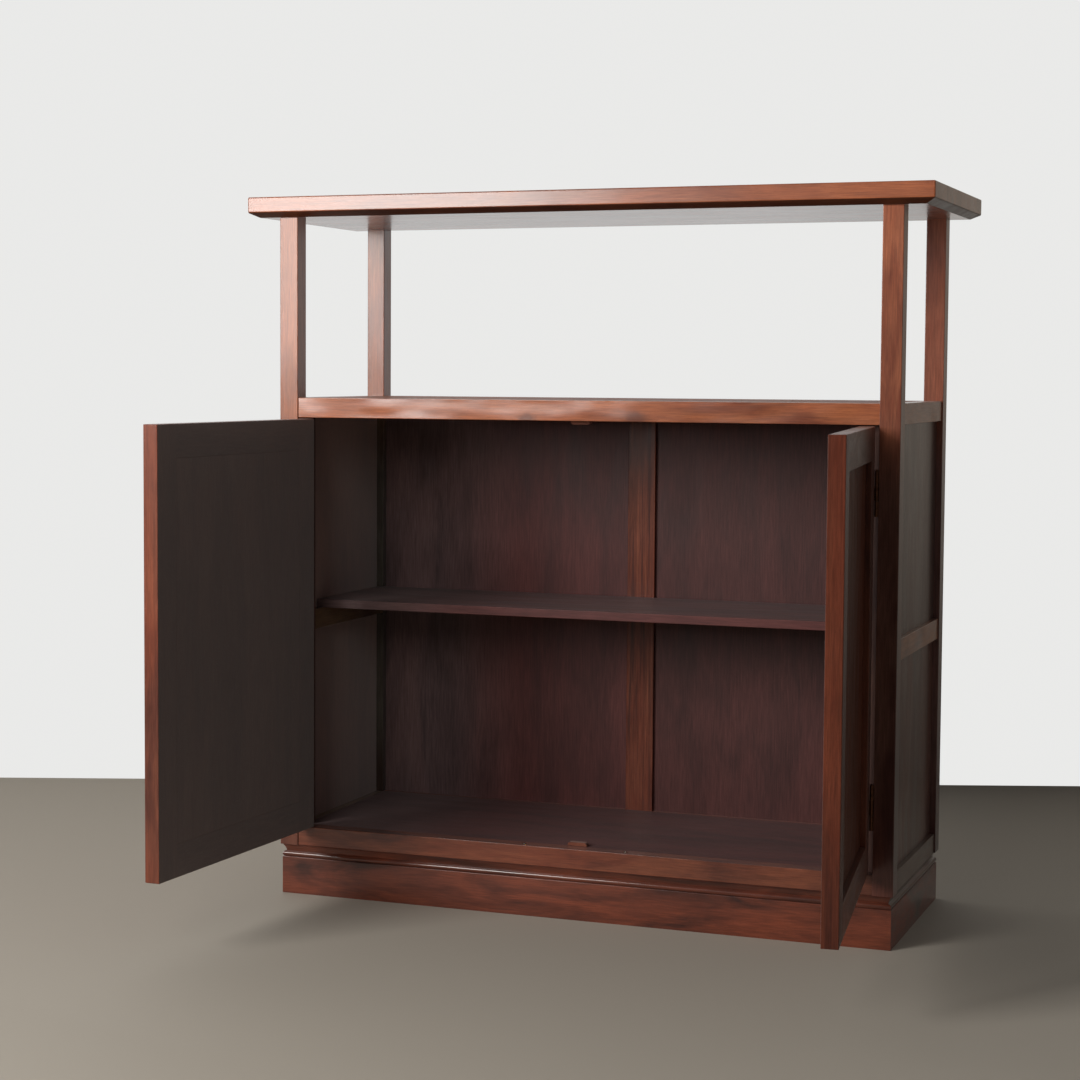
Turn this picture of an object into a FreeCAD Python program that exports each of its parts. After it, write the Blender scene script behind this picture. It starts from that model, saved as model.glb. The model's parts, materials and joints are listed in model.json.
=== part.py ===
import FreeCAD, Part
import math
import os
import re
import Sketcher

# Bar cabinet: a moulded plinth, four full-height posts that carry a solid top over an open bar deck,
# and under the deck a two-door cupboard with one shelf.
# X runs to the right, Y to the rear, Z up.  The origin is on the floor under the middle of the posts.

os.makedirs("parts", exist_ok=True)
doc = FreeCAD.newDocument("bar_cabinet")
sheet = doc.addObject("Spreadsheet::Sheet", "dims")

# ---------------------------------------------------------------- driving sizes, millimetres and degrees
SIZES = (
    ("cab_width", "934", "width over the posts"),
    ("cab_depth", "348", "depth over the posts"),
    ("cab_height", "1050", "floor to upper face of the top"),
    ("post_size", "29", "side of the square posts"),
    ("top_thick", "30", "thickness of the top"),
    ("top_edge", "23", "height of the upright edge of the top"),
    ("top_cham", "14", "width of the chamfer under the top"),
    ("top_over_side", "44.5", "overhang of the top at each side"),
    ("top_over_front", "18.5", "overhang of the top at the front"),
    ("top_over_rear", "9.5", "overhang of the top at the rear"),
    ("base_top", "75", "upper face of the base moulding"),
    ("plinth_high", "56", "height of the plinth boards"),
    ("plinth_inset", "2.5", "plinth face behind the post face"),
    ("plinth_thick", "20", "thickness of the plinth boards"),
    ("mould_wide", "34", "depth of the moulding from the post face"),
    ("bead_in", "5.5", "centre of the bead behind the post face"),
    ("bead_high", "5", "height of the bead"),
    ("cove_in", "11", "foot of the cove behind the post face"),
    ("cove_foot", "6.5", "height of the foot of the cove over the plinth"),
    ("brace_wide", "60", "width of the brace across the plinth"),
    ("block_size", "42", "side of the corner blocks"),
    ("block_high", "50", "height of the corner blocks"),
    ("rail_set", "2", "rail faces behind the post faces"),
    ("rear_rail_thick", "22", "thickness of the rear rails"),
    ("low_rail_top", "103.5", "upper face of the bottom rails and the floor"),
    ("mid_rail_top", "428", "upper face of the middle side rails"),
    ("mid_rail_high", "30", "height of the middle side rails"),
    ("deck_top", "752", "upper face of the bar deck"),
    ("deck_rail_high", "29.5", "height of the rails round the deck"),
    ("deck_thick", "14", "thickness of the deck panel"),
    ("floor_thick", "14", "thickness of the cupboard floor"),
    ("ledge_wide", "10", "ledge of a rail that carries a panel"),
    ("seat_gap", "0.2", "play at the ends of fitted boards"),
    ("panel_thick", "8", "thickness of the side and back panels"),
    ("panel_set", "7", "side panel face behind the rail face"),
    ("back_set", "8", "back panel face behind the rear rail face"),
    ("groove_deep", "6", "depth of the panel grooves"),
    ("groove_play", "0.1", "play on each face of a panel in its groove"),
    ("stile_wide", "44", "width of the centre back stile"),
    ("stile_thick", "20", "thickness of the centre back stile"),
    ("shelf_thick", "13", "thickness of the shelf"),
    ("shelf_deep", "232", "depth of the shelf"),
    ("door_set", "4", "door face behind the post face"),
    ("door_thick", "22", "thickness of the doors"),
    ("door_gap", "1.7", "gap over and under a door"),
    ("meet_gap", "2", "gap between the two doors"),
    ("hinge_gap", "3", "gap between a door and its post"),
    ("door_frame", "46", "width of door stiles and rails"),
    ("door_recess", "8", "door panel face behind the frame face"),
    ("door_tongue", "5.8", "thickness of the panel tongue"),
    ("left_open_angle", "93.0", "angle of the left door, degrees"),
    ("right_open_angle", "97.3", "angle of the right door, degrees"),
    ("stop_gap", "0.3", "door to door stop"),
    ("stop_wide", "29", "width of a door stop"),
    ("stop_deep", "10", "depth of a door stop"),
    ("stop_high", "5.5", "how far a door stop stands proud"),
    ("stop_round", "4", "corner radius of a door stop"),
    ("strip_wide", "12", "width of the strip behind the hinge side of a door"),
    ("knuckle_size", "5", "diameter of the hinge knuckles"),
    ("knuckle_gap", "0.4", "knuckle to wood, and knuckle to knuckle"),
    ("pin_size", "2.2", "diameter of the hinge pin"),
    ("pin_play", "0.05", "radial play of pins, screws and balls"),
    ("pin_head", "1.5", "height of the head on a hinge pin"),
    ("pin_head_size", "4", "diameter of the head on a hinge pin"),
    ("leaf_thick", "2", "thickness of a hinge leaf"),
    ("leaf_wide", "19", "width of a hinge leaf"),
    ("leaf_high", "63", "height of a hinge"),
    ("leaf_space", "0.4", "space between the leaves of a closed hinge"),
    ("hinge_in", "60", "end of the door to the end of the hinge"),
    ("screw_pitch", "21", "distance between hinge screws"),
    ("screw_size", "3", "diameter of a hinge screw"),
    ("screw_deep", "14", "length of a hinge screw in the wood"),
    ("head_size", "6", "diameter of a screw head"),
    ("head_high", "1", "height of a screw head"),
    ("catch_x", "77.5", "ball catch to the middle of the cabinet"),
    ("catch_size", "8", "diameter of the catch housing"),
    ("catch_deep", "14", "depth of the catch housing"),
    ("catch_floor", "2", "thickness of the floor of the housing"),
    ("ball_size", "5.8", "diameter of the catch ball"),
    ("ball_proud", "1.4", "ball over the bottom rail"),
    ("strike_wide", "24", "length of the strike plate"),
    ("strike_deep", "12", "width of the strike plate"),
    ("strike_thick", "0.8", "thickness of the strike plate"),
    ("strike_hole", "4", "diameter of the hole in the strike plate"),
)

# ---------------------------------------------------------------- sizes that follow from the ones above
DERIVED = (
    ("half_w", "cab_width / 2"),
    ("half_d", "cab_depth / 2"),
    ("open_x", "half_w - post_size"),
    ("open_y", "half_d - post_size"),
    ("under_top", "cab_height - top_thick"),
    ("post_high", "under_top - base_top"),
    ("mould_high", "base_top - plinth_high"),
    ("low_rail_high", "low_rail_top - base_top"),
    ("deck_low", "deck_top - deck_rail_high"),
    ("mid_rail_low", "mid_rail_top - mid_rail_high"),
    ("side_rail_thick", "post_size - rail_set"),
    ("front_rail_thick", "door_set + door_thick + stop_gap - rail_set"),
    ("rail_face_y", "half_d - rail_set"),
    ("front_rail_back", "rail_face_y - front_rail_thick"),
    ("rear_rail_front", "rail_face_y - rear_rail_thick"),
    ("groove_wide", "panel_thick + 2 * groove_play"),
    ("groove_fill", "groove_deep - seat_gap"),
    ("side_groove", "rail_set + panel_set - groove_play"),
    ("back_groove", "rail_set + back_set - groove_play"),
    ("side_panel_x", "half_w - rail_set - panel_set"),
    ("back_panel_y", "rail_face_y - back_set - panel_thick"),
    ("stile_half", "stile_wide / 2"),
    ("knuckle_rad", "knuckle_size / 2"),
    ("axis_x", "open_x - knuckle_rad - knuckle_gap"),
    ("axis_y", "knuckle_rad + knuckle_gap - door_set + half_d"),
    ("door_edge", "open_x - hinge_gap"),
    ("door_wide", "door_edge - meet_gap / 2"),
    ("door_low", "low_rail_top + door_gap"),
    ("door_high", "deck_low - low_rail_top - 2 * door_gap"),
    ("door_face", "half_d - door_set"),
    ("door_groove", "door_tongue + 2 * groove_play"),
    ("pane_wide", "door_wide - 2 * door_frame"),
    ("pane_high", "door_high - 2 * door_frame"),
    ("leaf_proud", "(hinge_gap - leaf_space) / 2"),
    ("leaf_sunk", "leaf_thick - leaf_proud"),
    ("hinge_low", "door_low + hinge_in"),
    ("hinge_top", "door_low + door_high - hinge_in - leaf_high"),
    ("knuckle_high", "(leaf_high - 2 * knuckle_gap) / 3"),
    ("screw_y", "leaf_wide / 2"),
    ("catch_y", "door_face - door_thick / 2"),
    ("ball_z", "low_rail_top + ball_proud - ball_size / 2"),
)

ALIASES = set()


def add_row(row, alias, content, note):
    """One named value in the sheet, with a word on what it is."""
    sheet.set("A%d" % row, alias)
    sheet.set("B%d" % row, content)
    sheet.setAlias("B%d" % row, alias)
    sheet.set("C%d" % row, note)
    ALIASES.add(alias)


line = 1
for alias, value, note in SIZES:
    add_row(line, alias, value, note)
    line += 1
for alias, formula in DERIVED:
    add_row(line, alias, "=" + formula, "follows")
    line += 1
doc.recompute()

# ---------------------------------------------------------------- tools for bound geometry


def bound(text):
    """Expression with every sheet name pointed at the sheet."""
    def point(match):
        word = match.group(0)
        return "dims." + word if word in ALIASES else word
    return re.sub(r"[a-z_]+", point, text)


def flip(text, full):
    """The same place measured from the other side of a piece."""
    return "%s - (%s)" % (full, text)


def new_body(name, at, turn=0):
    """An empty body with its bound place and a turn about Z."""
    body = doc.addObject("PartDesign::Body", name)
    body.Label = name
    body.AllowCompound = True
    spin = FreeCAD.Rotation(FreeCAD.Vector(0, 0, 1), turn)
    body.Placement = FreeCAD.Placement(FreeCAD.Vector(0, 0, 0), spin)
    for letter, text in zip("xyz", at):
        body.setExpression("Placement.Base." + letter, bound(text))
    return body


def hang_on_hinge(body, side, at):
    """Place a door piece: the closed place turned about the hinge line of its side."""
    sign = "-" if side == "left" else ""
    angle = "(%s%s_open_angle)" % (sign, side)
    pivot_x = "(%saxis_x)" % sign
    pivot_y = "(0 - axis_y)"
    run = "(%s - %s)" % (at[0], pivot_x)
    rise = "(%s - %s)" % (at[1], pivot_y)
    base_x = "%s + %s * cos(%s) - %s * sin(%s)" % (pivot_x, run, angle, rise, angle)
    base_y = "%s + %s * sin(%s) + %s * cos(%s)" % (pivot_y, run, angle, rise, angle)
    body.Placement = FreeCAD.Placement(FreeCAD.Vector(), FreeCAD.Rotation(FreeCAD.Vector(0, 0, 1), 10))
    body.setExpression("Placement.Base.x", bound(base_x))
    body.setExpression("Placement.Base.y", bound(base_y))
    body.setExpression("Placement.Base.z", bound(at[2]))
    body.setExpression("Placement.Rotation.Angle", bound(angle))


def new_sketch(body, role, tag, lift="0"):
    """A sketch on an origin plane of the body, lifted along the plane's normal."""
    sketch = body.newObject("Sketcher::SketchObject", body.Name + "_" + tag)
    support = [item for item in body.Origin.OriginFeatures if item.Role == role][0]
    sketch.AttachmentSupport = (support, [""])
    sketch.MapMode = "FlatFace"
    if lift != "0":
        sketch.setExpression("AttachmentOffset.Base.z", bound(lift))
    return sketch


def pin_point(sketch, rules, index, corner, place, name):
    """Hold one point at a bound place; a nought holds it on the axis."""
    now = sketch.getPoint(index, corner)
    for kind, axis, text, letter, start in (("DistanceX", -2, place[0], "x", now.x),
                                            ("DistanceY", -1, place[1], "y", now.y)):
        if text == "0":
            sketch.addConstraint(Sketcher.Constraint("PointOnObject", index, corner, axis))
        else:
            number = sketch.addConstraint(Sketcher.Constraint(kind, -1, 1, index, corner, start))
            sketch.renameConstraint(number, name + "_" + letter)
            rules.append(("Constraints." + name + "_" + letter, bound(text)))


def outline(sketch, points, tag="p"):
    """A closed outline of straight lines with every corner held."""
    count = len(points)
    first = sketch.GeometryCount
    ring = [FreeCAD.Vector(20 + 9 * math.cos(2 * math.pi * k / count),
                           20 + 9 * math.sin(2 * math.pi * k / count), 0) for k in range(count)]
    for k in range(count):
        sketch.addGeometry(Part.LineSegment(ring[k], ring[(k + 1) % count]), False)
    for k in range(count):
        after = first + (k + 1) % count
        sketch.addConstraint(Sketcher.Constraint("Coincident", first + k, 2, after, 1))
    rules = []
    for k, place in enumerate(points):
        pin_point(sketch, rules, first + k, 1, place, "%s%d" % (tag, k))
    for target, text in rules:
        sketch.setExpression(target, text)


def box_outline(sketch, left, right, low, high, tag="b"):
    """An upright rectangle held at two opposite corners."""
    first = sketch.GeometryCount
    corners = [FreeCAD.Vector(x, y, 0) for x, y in ((1, 1), (9, 1), (9, 9), (1, 9))]
    for k in range(4):
        sketch.addGeometry(Part.LineSegment(corners[k], corners[(k + 1) % 4]), False)
    for k in range(4):
        sketch.addConstraint(Sketcher.Constraint("Coincident", first + k, 2, first + (k + 1) % 4, 1))
        way = "Horizontal" if k % 2 == 0 else "Vertical"
        sketch.addConstraint(Sketcher.Constraint(way, first + k))
    rules = []
    pin_point(sketch, rules, first, 1, (left, low), tag + "a")
    pin_point(sketch, rules, first + 2, 1, (right, high), tag + "c")
    for target, text in rules:
        sketch.setExpression(target, text)


def round_outline(sketch, centre, size, tag):
    """A circle with bound centre and diameter."""
    index = sketch.addGeometry(Part.Circle(FreeCAD.Vector(5, 5, 0), FreeCAD.Vector(0, 0, 1), 3), False)
    rules = []
    pin_point(sketch, rules, index, 3, centre, tag)
    number = sketch.addConstraint(Sketcher.Constraint("Diameter", index, 6.0))
    sketch.renameConstraint(number, tag + "_size")
    rules.append(("Constraints." + tag + "_size", bound(size)))
    for target, text in rules:
        sketch.setExpression(target, text)


def check(feature):
    """Stop when a feature is not sound."""
    if "Invalid" in feature.State or "Error" in feature.State:
        raise RuntimeError("not sound: " + feature.Name)
    if feature.Shape.isNull() or not feature.Shape.isValid():
        raise RuntimeError("no good shape: " + feature.Name)


def grow(body, sketch, length, back=False):
    """Pad a sketch; back=True sends it against the sketch normal."""
    feature = body.newObject("PartDesign::Pad", sketch.Name + "_pad")
    feature.Profile = sketch
    feature.Type = "Length"
    feature.setExpression("Length", bound(length))
    feature.Reversed = back
    doc.recompute()
    check(feature)
    return feature


def carve(body, sketch, length, back=False):
    """Pocket a sketch against its normal, or along it with back=True."""
    before = body.Shape.Volume
    feature = body.newObject("PartDesign::Pocket", sketch.Name + "_cut")
    feature.Profile = sketch
    feature.Type = "Length"
    feature.setExpression("Length", bound(length))
    feature.Reversed = back
    doc.recompute()
    check(feature)
    if not feature.Shape.Volume < before - 0.01:
        raise RuntimeError("cut took nothing: " + feature.Name)
    return feature


def board(name, at, long_x, long_y, long_z, turn=0):
    """A plain board from its low corner."""
    body = new_body(name, at, turn)
    sketch = new_sketch(body, "XY_Plane", "face")
    box_outline(sketch, "0", long_x, "0", long_y)
    grow(body, sketch, long_z)
    return body


def bar_along_x(name, at, points, length):
    """A bar with its section in Y and Z."""
    body = new_body(name, at)
    sketch = new_sketch(body, "YZ_Plane", "section")
    outline(sketch, points)
    grow(body, sketch, length)
    return body


def bar_along_y(name, at, points, length):
    """A bar with its section in X and Z."""
    body = new_body(name, at)
    sketch = new_sketch(body, "XZ_Plane", "section")
    outline(sketch, points)
    grow(body, sketch, length, True)
    return body


def row_of_holes(body, tag, places, size, plane_at, depth, back):
    """Round holes along X with centres given in Y and Z."""
    sketch = new_sketch(body, "YZ_Plane", tag, plane_at)
    for number, place in enumerate(places):
        round_outline(sketch, place, size, "c%d" % number)
    carve(body, sketch, depth, back)


nodes = []

# ---------------------------------------------------------------- the top
TOP_LONG = "cab_width + 2 * top_over_side"
TOP_DEEP = "cab_depth + top_over_front + top_over_rear"
top = board("top_board", ("0 - half_w - top_over_side", "0 - half_d - top_over_front", "under_top"),
            TOP_LONG, TOP_DEEP, "top_thick")
slope = "top_thick - top_edge"
ends = new_sketch(top, "XZ_Plane", "side_chamfers")
outline(ends, (("0", "0"), ("top_cham", "0"), ("0", slope)), "l")
outline(ends, ((TOP_LONG, "0"), (TOP_LONG, slope), (TOP_LONG + " - top_cham", "0")), "r")
carve(top, ends, TOP_DEEP)
flanks = new_sketch(top, "YZ_Plane", "long_chamfers")
outline(flanks, (("0", "0"), ("top_cham", "0"), ("0", slope)), "f")
outline(flanks, ((TOP_DEEP, "0"), (TOP_DEEP, slope), (TOP_DEEP + " - top_cham", "0")), "b")
carve(top, flanks, TOP_LONG, True)
nodes.append(top)

# ---------------------------------------------------------------- posts, grooved for the panels
GROOVE_TOP = "deck_low + groove_deep - base_top"


def screw_spots(at_y):
    """Centres of the three screws of each of the two hinges on one side, over the ground."""
    spots = []
    for start in ("hinge_low", "hinge_top"):
        for step in (0, 1, 2):
            height = "%s + leaf_high / 2 + %d * screw_pitch - screw_pitch" % (start, step)
            spots.append((at_y, height))
    return spots


def post(name, side, rear):
    """A post; x runs from the left face, y from the front face."""
    at_x = "0 - half_w" if side == "left" else "open_x"
    at_y = "open_y" if rear else "0 - half_d"
    body = board(name, (at_x, at_y, "base_top"), "post_size", "post_size", "post_high")
    near = "side_groove"
    far = "side_groove + groove_wide"
    if side == "right":
        near, far = flip(far, "post_size"), flip(near, "post_size")
    groove = new_sketch(body, "XY_Plane", "side_groove")
    if rear:
        box_outline(groove, near, far, "0", "groove_deep")
    else:
        box_outline(groove, near, far, "post_size - groove_deep", "post_size")
    carve(body, groove, GROOVE_TOP, True)
    if rear:
        back_groove = new_sketch(body, "XY_Plane", "back_groove")
        low = "post_size - back_groove - groove_wide"
        high = "post_size - back_groove"
        if side == "left":
            box_outline(back_groove, "post_size - groove_deep", "post_size", low, high)
        else:
            box_outline(back_groove, "0", "groove_deep", low, high)
        carve(body, back_groove, GROOVE_TOP, True)
    else:
        for tag, start in (("low", "hinge_low"), ("top", "hinge_top")):
            seat = new_sketch(body, "XY_Plane", "hinge_seat_" + tag, start + " - seat_gap - base_top")
            seat_deep = "door_set + leaf_wide + seat_gap"
            if side == "left":
                box_outline(seat, "post_size - leaf_sunk", "post_size", "0", seat_deep)
            else:
                box_outline(seat, "0", "leaf_sunk", "0", seat_deep)
            carve(body, seat, "leaf_high + 2 * seat_gap", True)
        spots = [(y, z + " - base_top") for y, z in screw_spots("door_set + screw_y")]
        size = "screw_size + 2 * pin_play"
        if side == "left":
            row_of_holes(body, "pilots", spots, size, "post_size", "screw_deep", False)
        else:
            row_of_holes(body, "pilots", spots, size, "0", "screw_deep", True)
    return body


for side in ("left", "right"):
    nodes.append(post("post_front_" + side, side, False))
    nodes.append(post("post_rear_" + side, side, True))

# ---------------------------------------------------------------- front and rear rails with their ledges
OPEN_LONG = "2 * open_x"


def front_rail(name, low, high, panel):
    """A front rail; a ledge behind it carries a panel of the given thickness."""
    thick = "front_rail_thick"
    step = "%s - %s" % (high, panel)
    points = (("0", "0"), (thick + " + ledge_wide", "0"), (thick + " + ledge_wide", step),
              (thick, step), (thick, high), ("0", high))
    return bar_along_x(name, ("0 - open_x", "0 - rail_face_y", low), points, OPEN_LONG)


def rear_rail(name, low, high, panel, groove_on_top):
    """A rear rail with its ledge, and the groove of the back panels."""
    ledge = "ledge_wide"
    full = "ledge_wide + rear_rail_thick"
    step = "%s - %s" % (high, panel)
    near = "%s + rail_set - back_groove - groove_wide" % full
    far = "%s + rail_set - back_groove" % full
    points = [("0", "0")]
    if not groove_on_top:
        points += [(near, "0"), (near, "groove_deep"), (far, "groove_deep"), (far, "0")]
    points += [(full, "0"), (full, high)]
    if groove_on_top:
        sunk = "%s - groove_deep" % high
        points += [(far, high), (far, sunk), (near, sunk), (near, high)]
    points += [(ledge, high), (ledge, step), ("0", step)]
    return bar_along_x(name, ("0 - open_x", "rear_rail_front - ledge_wide", low), points, OPEN_LONG)


def catch_hole(body, tag, place):
    """Hole for a ball catch in the bottom front rail."""
    sketch = new_sketch(body, "XY_Plane", tag, "low_rail_high")
    round_outline(sketch, (place, "rail_face_y - catch_y"), "catch_size + 2 * pin_play", "c")
    carve(body, sketch, "catch_deep")


low_front = front_rail("low_rail_front", "base_top", "low_rail_high", "floor_thick")
catch_hole(low_front, "left_catch", "open_x - catch_x")
catch_hole(low_front, "right_catch", "open_x + catch_x")
nodes.append(low_front)
nodes.append(rear_rail("low_rail_rear", "base_top", "low_rail_high", "floor_thick", True))
nodes.append(front_rail("deck_rail_front", "deck_low", "deck_rail_high", "deck_thick"))
nodes.append(rear_rail("deck_rail_rear", "deck_low", "deck_rail_high", "deck_thick", False))


# ---------------------------------------------------------------- side rails
def side_rail(name, side, low, high, below, above):
    """A side rail; grooves in its lower and upper faces take the side panels."""
    near = "side_groove - rail_set"
    far = "side_groove - rail_set + groove_wide"
    if side == "right":
        near, far = flip(far, "side_rail_thick"), flip(near, "side_rail_thick")
    sunk = "%s - groove_deep" % high
    points = [("0", "0")]
    if below:
        points += [(near, "0"), (near, "groove_deep"), (far, "groove_deep"), (far, "0")]
    points += [("side_rail_thick", "0"), ("side_rail_thick", high)]
    if above:
        points += [(far, high), (far, sunk), (near, sunk), (near, high)]
    points += [("0", high)]
    at_x = "rail_set - half_w" if side == "left" else "open_x"
    return bar_along_y(name, (at_x, "0 - open_y", low), points, "2 * open_y")


for side in ("left", "right"):
    nodes.append(side_rail("low_rail_" + side, side, "base_top", "low_rail_high", False, True))
    nodes.append(side_rail("mid_rail_" + side, side, "mid_rail_low", "mid_rail_high", True, True))
    nodes.append(side_rail("deck_rail_" + side, side, "deck_low", "deck_rail_high", True, False))

# ---------------------------------------------------------------- panels, floor, deck, back and shelf
FIELD_LONG = "2 * open_y + 2 * groove_fill"
for side in ("left", "right"):
    at_x = "0 - side_panel_x" if side == "left" else "side_panel_x - panel_thick"
    at_y = "0 - open_y - groove_fill"
    nodes.append(board("side_panel_lower_" + side, (at_x, at_y, "low_rail_top - groove_fill"), "panel_thick",
                       FIELD_LONG, "mid_rail_low - low_rail_top + 2 * groove_fill"))
    nodes.append(board("side_panel_upper_" + side, (at_x, at_y, "mid_rail_top - groove_fill"), "panel_thick",
                       FIELD_LONG, "deck_low - mid_rail_top + 2 * groove_fill"))

INNER_LONG = "2 * open_x - 2 * seat_gap"
INNER_DEEP = "rear_rail_front + front_rail_back - 2 * seat_gap"
inner_corner_x = "seat_gap - open_x"
inner_corner_y = "seat_gap - front_rail_back"
nodes.append(board("floor_panel", (inner_corner_x, inner_corner_y, "low_rail_top - floor_thick"),
                   INNER_LONG, INNER_DEEP, "floor_thick"))
nodes.append(board("deck_panel", (inner_corner_x, inner_corner_y, "deck_top - deck_thick"),
                   INNER_LONG, INNER_DEEP, "deck_thick"))

STILE_NEAR = "rear_rail_thick - back_set + groove_play - groove_wide"
STILE_FAR = "rear_rail_thick - back_set + groove_play"
stile = new_body("back_stile", ("0 - stile_half", "rear_rail_front", "low_rail_top"))
section = new_sketch(stile, "XY_Plane", "section")
outline(section, (("0", "0"), ("stile_wide", "0"), ("stile_wide", STILE_NEAR),
                  ("stile_wide - groove_deep", STILE_NEAR), ("stile_wide - groove_deep", STILE_FAR),
                  ("stile_wide", STILE_FAR), ("stile_wide", "stile_thick"), ("0", "stile_thick"),
                  ("0", STILE_FAR), ("groove_deep", STILE_FAR), ("groove_deep", STILE_NEAR),
                  ("0", STILE_NEAR)))
grow(stile, section, "deck_low - low_rail_top")
nodes.append(stile)

BACK_WIDE = "open_x - stile_half + 2 * groove_fill"
BACK_HIGH = "deck_low - low_rail_top + 2 * groove_fill"
for side in ("left", "right"):
    at_x = "0 - open_x - groove_fill" if side == "left" else "stile_half - groove_fill"
    nodes.append(board("back_panel_" + side, (at_x, "back_panel_y", "low_rail_top - groove_fill"),
                       BACK_WIDE, "panel_thick", BACK_HIGH))

shelf_end = "(side_panel_x - panel_thick - seat_gap)"
notch = "%s - open_x + seat_gap" % shelf_end
SHELF_LONG = "2 * %s" % shelf_end
to_post = "shelf_deep - rear_rail_front + open_y"
shelf = new_body("shelf", ("0 - " + shelf_end, "rear_rail_front - seat_gap - shelf_deep", "mid_rail_top"))
plan = new_sketch(shelf, "XY_Plane", "plan")
far_notch = flip(notch, SHELF_LONG)
outline(plan, (("0", "0"), (SHELF_LONG, "0"), (SHELF_LONG, to_post), (far_notch, to_post),
               (far_notch, "shelf_deep"), (notch, "shelf_deep"), (notch, to_post), ("0", to_post)))
grow(shelf, plan, "shelf_thick")
nodes.append(shelf)


# ---------------------------------------------------------------- plinth and base moulding, mitred all round
def corner_start(inset, number):
    """Outer corner where one of the four sides starts, going round from the front left."""
    x = "half_w - " + inset
    y = "half_d - " + inset
    signs = (("0 - (%s)", "0 - (%s)"), ("(%s)", "0 - (%s)"), ("(%s)", "(%s)"), ("0 - (%s)", "(%s)"))[number]
    return signs[0] % x, signs[1] % y


SIDES = (("front", "cab_width", 0), ("right", "cab_depth", 90), ("rear", "cab_width", 180),
         ("left", "cab_depth", 270))


def plinth_side(number):
    """A plinth board with mitred ends."""
    word, full, turn = SIDES[number]
    x, y = corner_start("plinth_inset", number)
    length = full + " - 2 * plinth_inset"
    body = new_body("plinth_" + word, (x, y, "0"), turn)
    plan = new_sketch(body, "XY_Plane", "plan")
    outline(plan, (("0", "0"), (length, "0"), (length + " - plinth_thick", "plinth_thick"),
                   ("plinth_thick", "plinth_thick")))
    grow(body, plan, "plinth_high")
    return body


def mould_section(body):
    """Section of the moulding: bead below, cove above; x is the way in from the post face."""
    sketch = new_sketch(body, "YZ_Plane", "section")
    near = ((5.5, 0), (34, 0), (34, 19), (2, 19), (11, 6.5), (11, 5), (5.5, 5))
    guess = [FreeCAD.Vector(x, y, 0) for x, y in near]
    pairs = ((0, 1), (1, 2), (2, 3), (4, 5), (5, 6))
    for start, end in pairs:
        sketch.addGeometry(Part.LineSegment(guess[start], guess[end]), False)
    up = FreeCAD.Vector(0, 0, 1)
    cove_round = Part.Circle(FreeCAD.Vector(-2.2, 6.5, 0), up, 13.2)
    bead_round = Part.Circle(FreeCAD.Vector(5.5, 2.5, 0), up, 2.5)
    cove = sketch.addGeometry(Part.ArcOfCircle(cove_round, 0, 1.25), False)
    bead = sketch.addGeometry(Part.ArcOfCircle(bead_round, math.pi / 2, 3 * math.pi / 2), False)
    joins = ((0, 2, 1, 1), (1, 2, 2, 1), (2, 2, cove, 2), (cove, 1, 3, 1), (3, 2, 4, 1), (4, 2, bead, 1),
             (bead, 2, 0, 1))
    for one, end, other, start in joins:
        sketch.addConstraint(Sketcher.Constraint("Coincident", one, end, other, start))
    sketch.addConstraint(Sketcher.Constraint("Horizontal", cove, 3, cove, 1))
    sketch.addConstraint(Sketcher.Constraint("Vertical", bead, 3, bead, 1))
    places = ((0, 1, "bead_in", "0"), (1, 1, "mould_wide", "0"), (2, 1, "mould_wide", "mould_high"),
              (2, 2, "rail_set", "mould_high"), (3, 1, "cove_in", "cove_foot"),
              (4, 1, "cove_in", "bead_high"), (4, 2, "bead_in", "bead_high"))
    rules = []
    for number, (index, corner, x, y) in enumerate(places):
        pin_point(sketch, rules, index, corner, (x, y), "m%d" % number)
    for target, text in rules:
        sketch.setExpression(target, text)
    return sketch


def mould_side(number):
    """A length of moulding with mitred ends."""
    word, length, turn = SIDES[number]
    x, y = corner_start("0", number)
    body = new_body("base_mould_" + word, (x, y, "plinth_high"), turn)
    grow(body, mould_section(body), length)
    mitres = new_sketch(body, "XY_Plane", "mitres")
    outline(mitres, (("0", "0"), ("mould_wide", "mould_wide"), ("0", "mould_wide")), "a")
    outline(mitres, ((length, "0"), (length, "mould_wide"), (length + " - mould_wide", "mould_wide")), "z")
    carve(body, mitres, "mould_high", True)
    return body


for number in range(4):
    nodes.append(plinth_side(number))
for number in range(4):
    nodes.append(mould_side(number))

BRACE_LONG = "cab_depth - 2 * plinth_inset - 2 * plinth_thick"
nodes.append(board("plinth_brace", ("0 - brace_wide / 2", "0 - (%s) / 2" % BRACE_LONG, "0"),
                   "brace_wide", BRACE_LONG, "plinth_high"))

blocks = new_body("corner_blocks", ("0 - half_w", "0 - half_d", "plinth_high - block_high"))
plan = new_sketch(blocks, "XY_Plane", "plan")
edge = "plinth_inset + plinth_thick"
for number, (right, rear) in enumerate(((0, 0), (1, 0), (1, 1), (0, 1))):
    x0, x1 = edge, edge + " + block_size"
    y0, y1 = edge, edge + " + block_size"
    if right:
        x0, x1 = flip(x1, "cab_width"), flip(x0, "cab_width")
    if rear:
        y0, y1 = flip(y1, "cab_depth"), flip(y0, "cab_depth")
    box_outline(plan, x0, x1, y0, y1, "q%d" % number)
grow(blocks, plan, "block_high")
nodes.append(blocks)

# ---------------------------------------------------------------- door stops, on the floor and under the deck
stops = new_body("door_stops", ("0 - stop_wide / 2", "0 - front_rail_back", "low_rail_top"))


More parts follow.
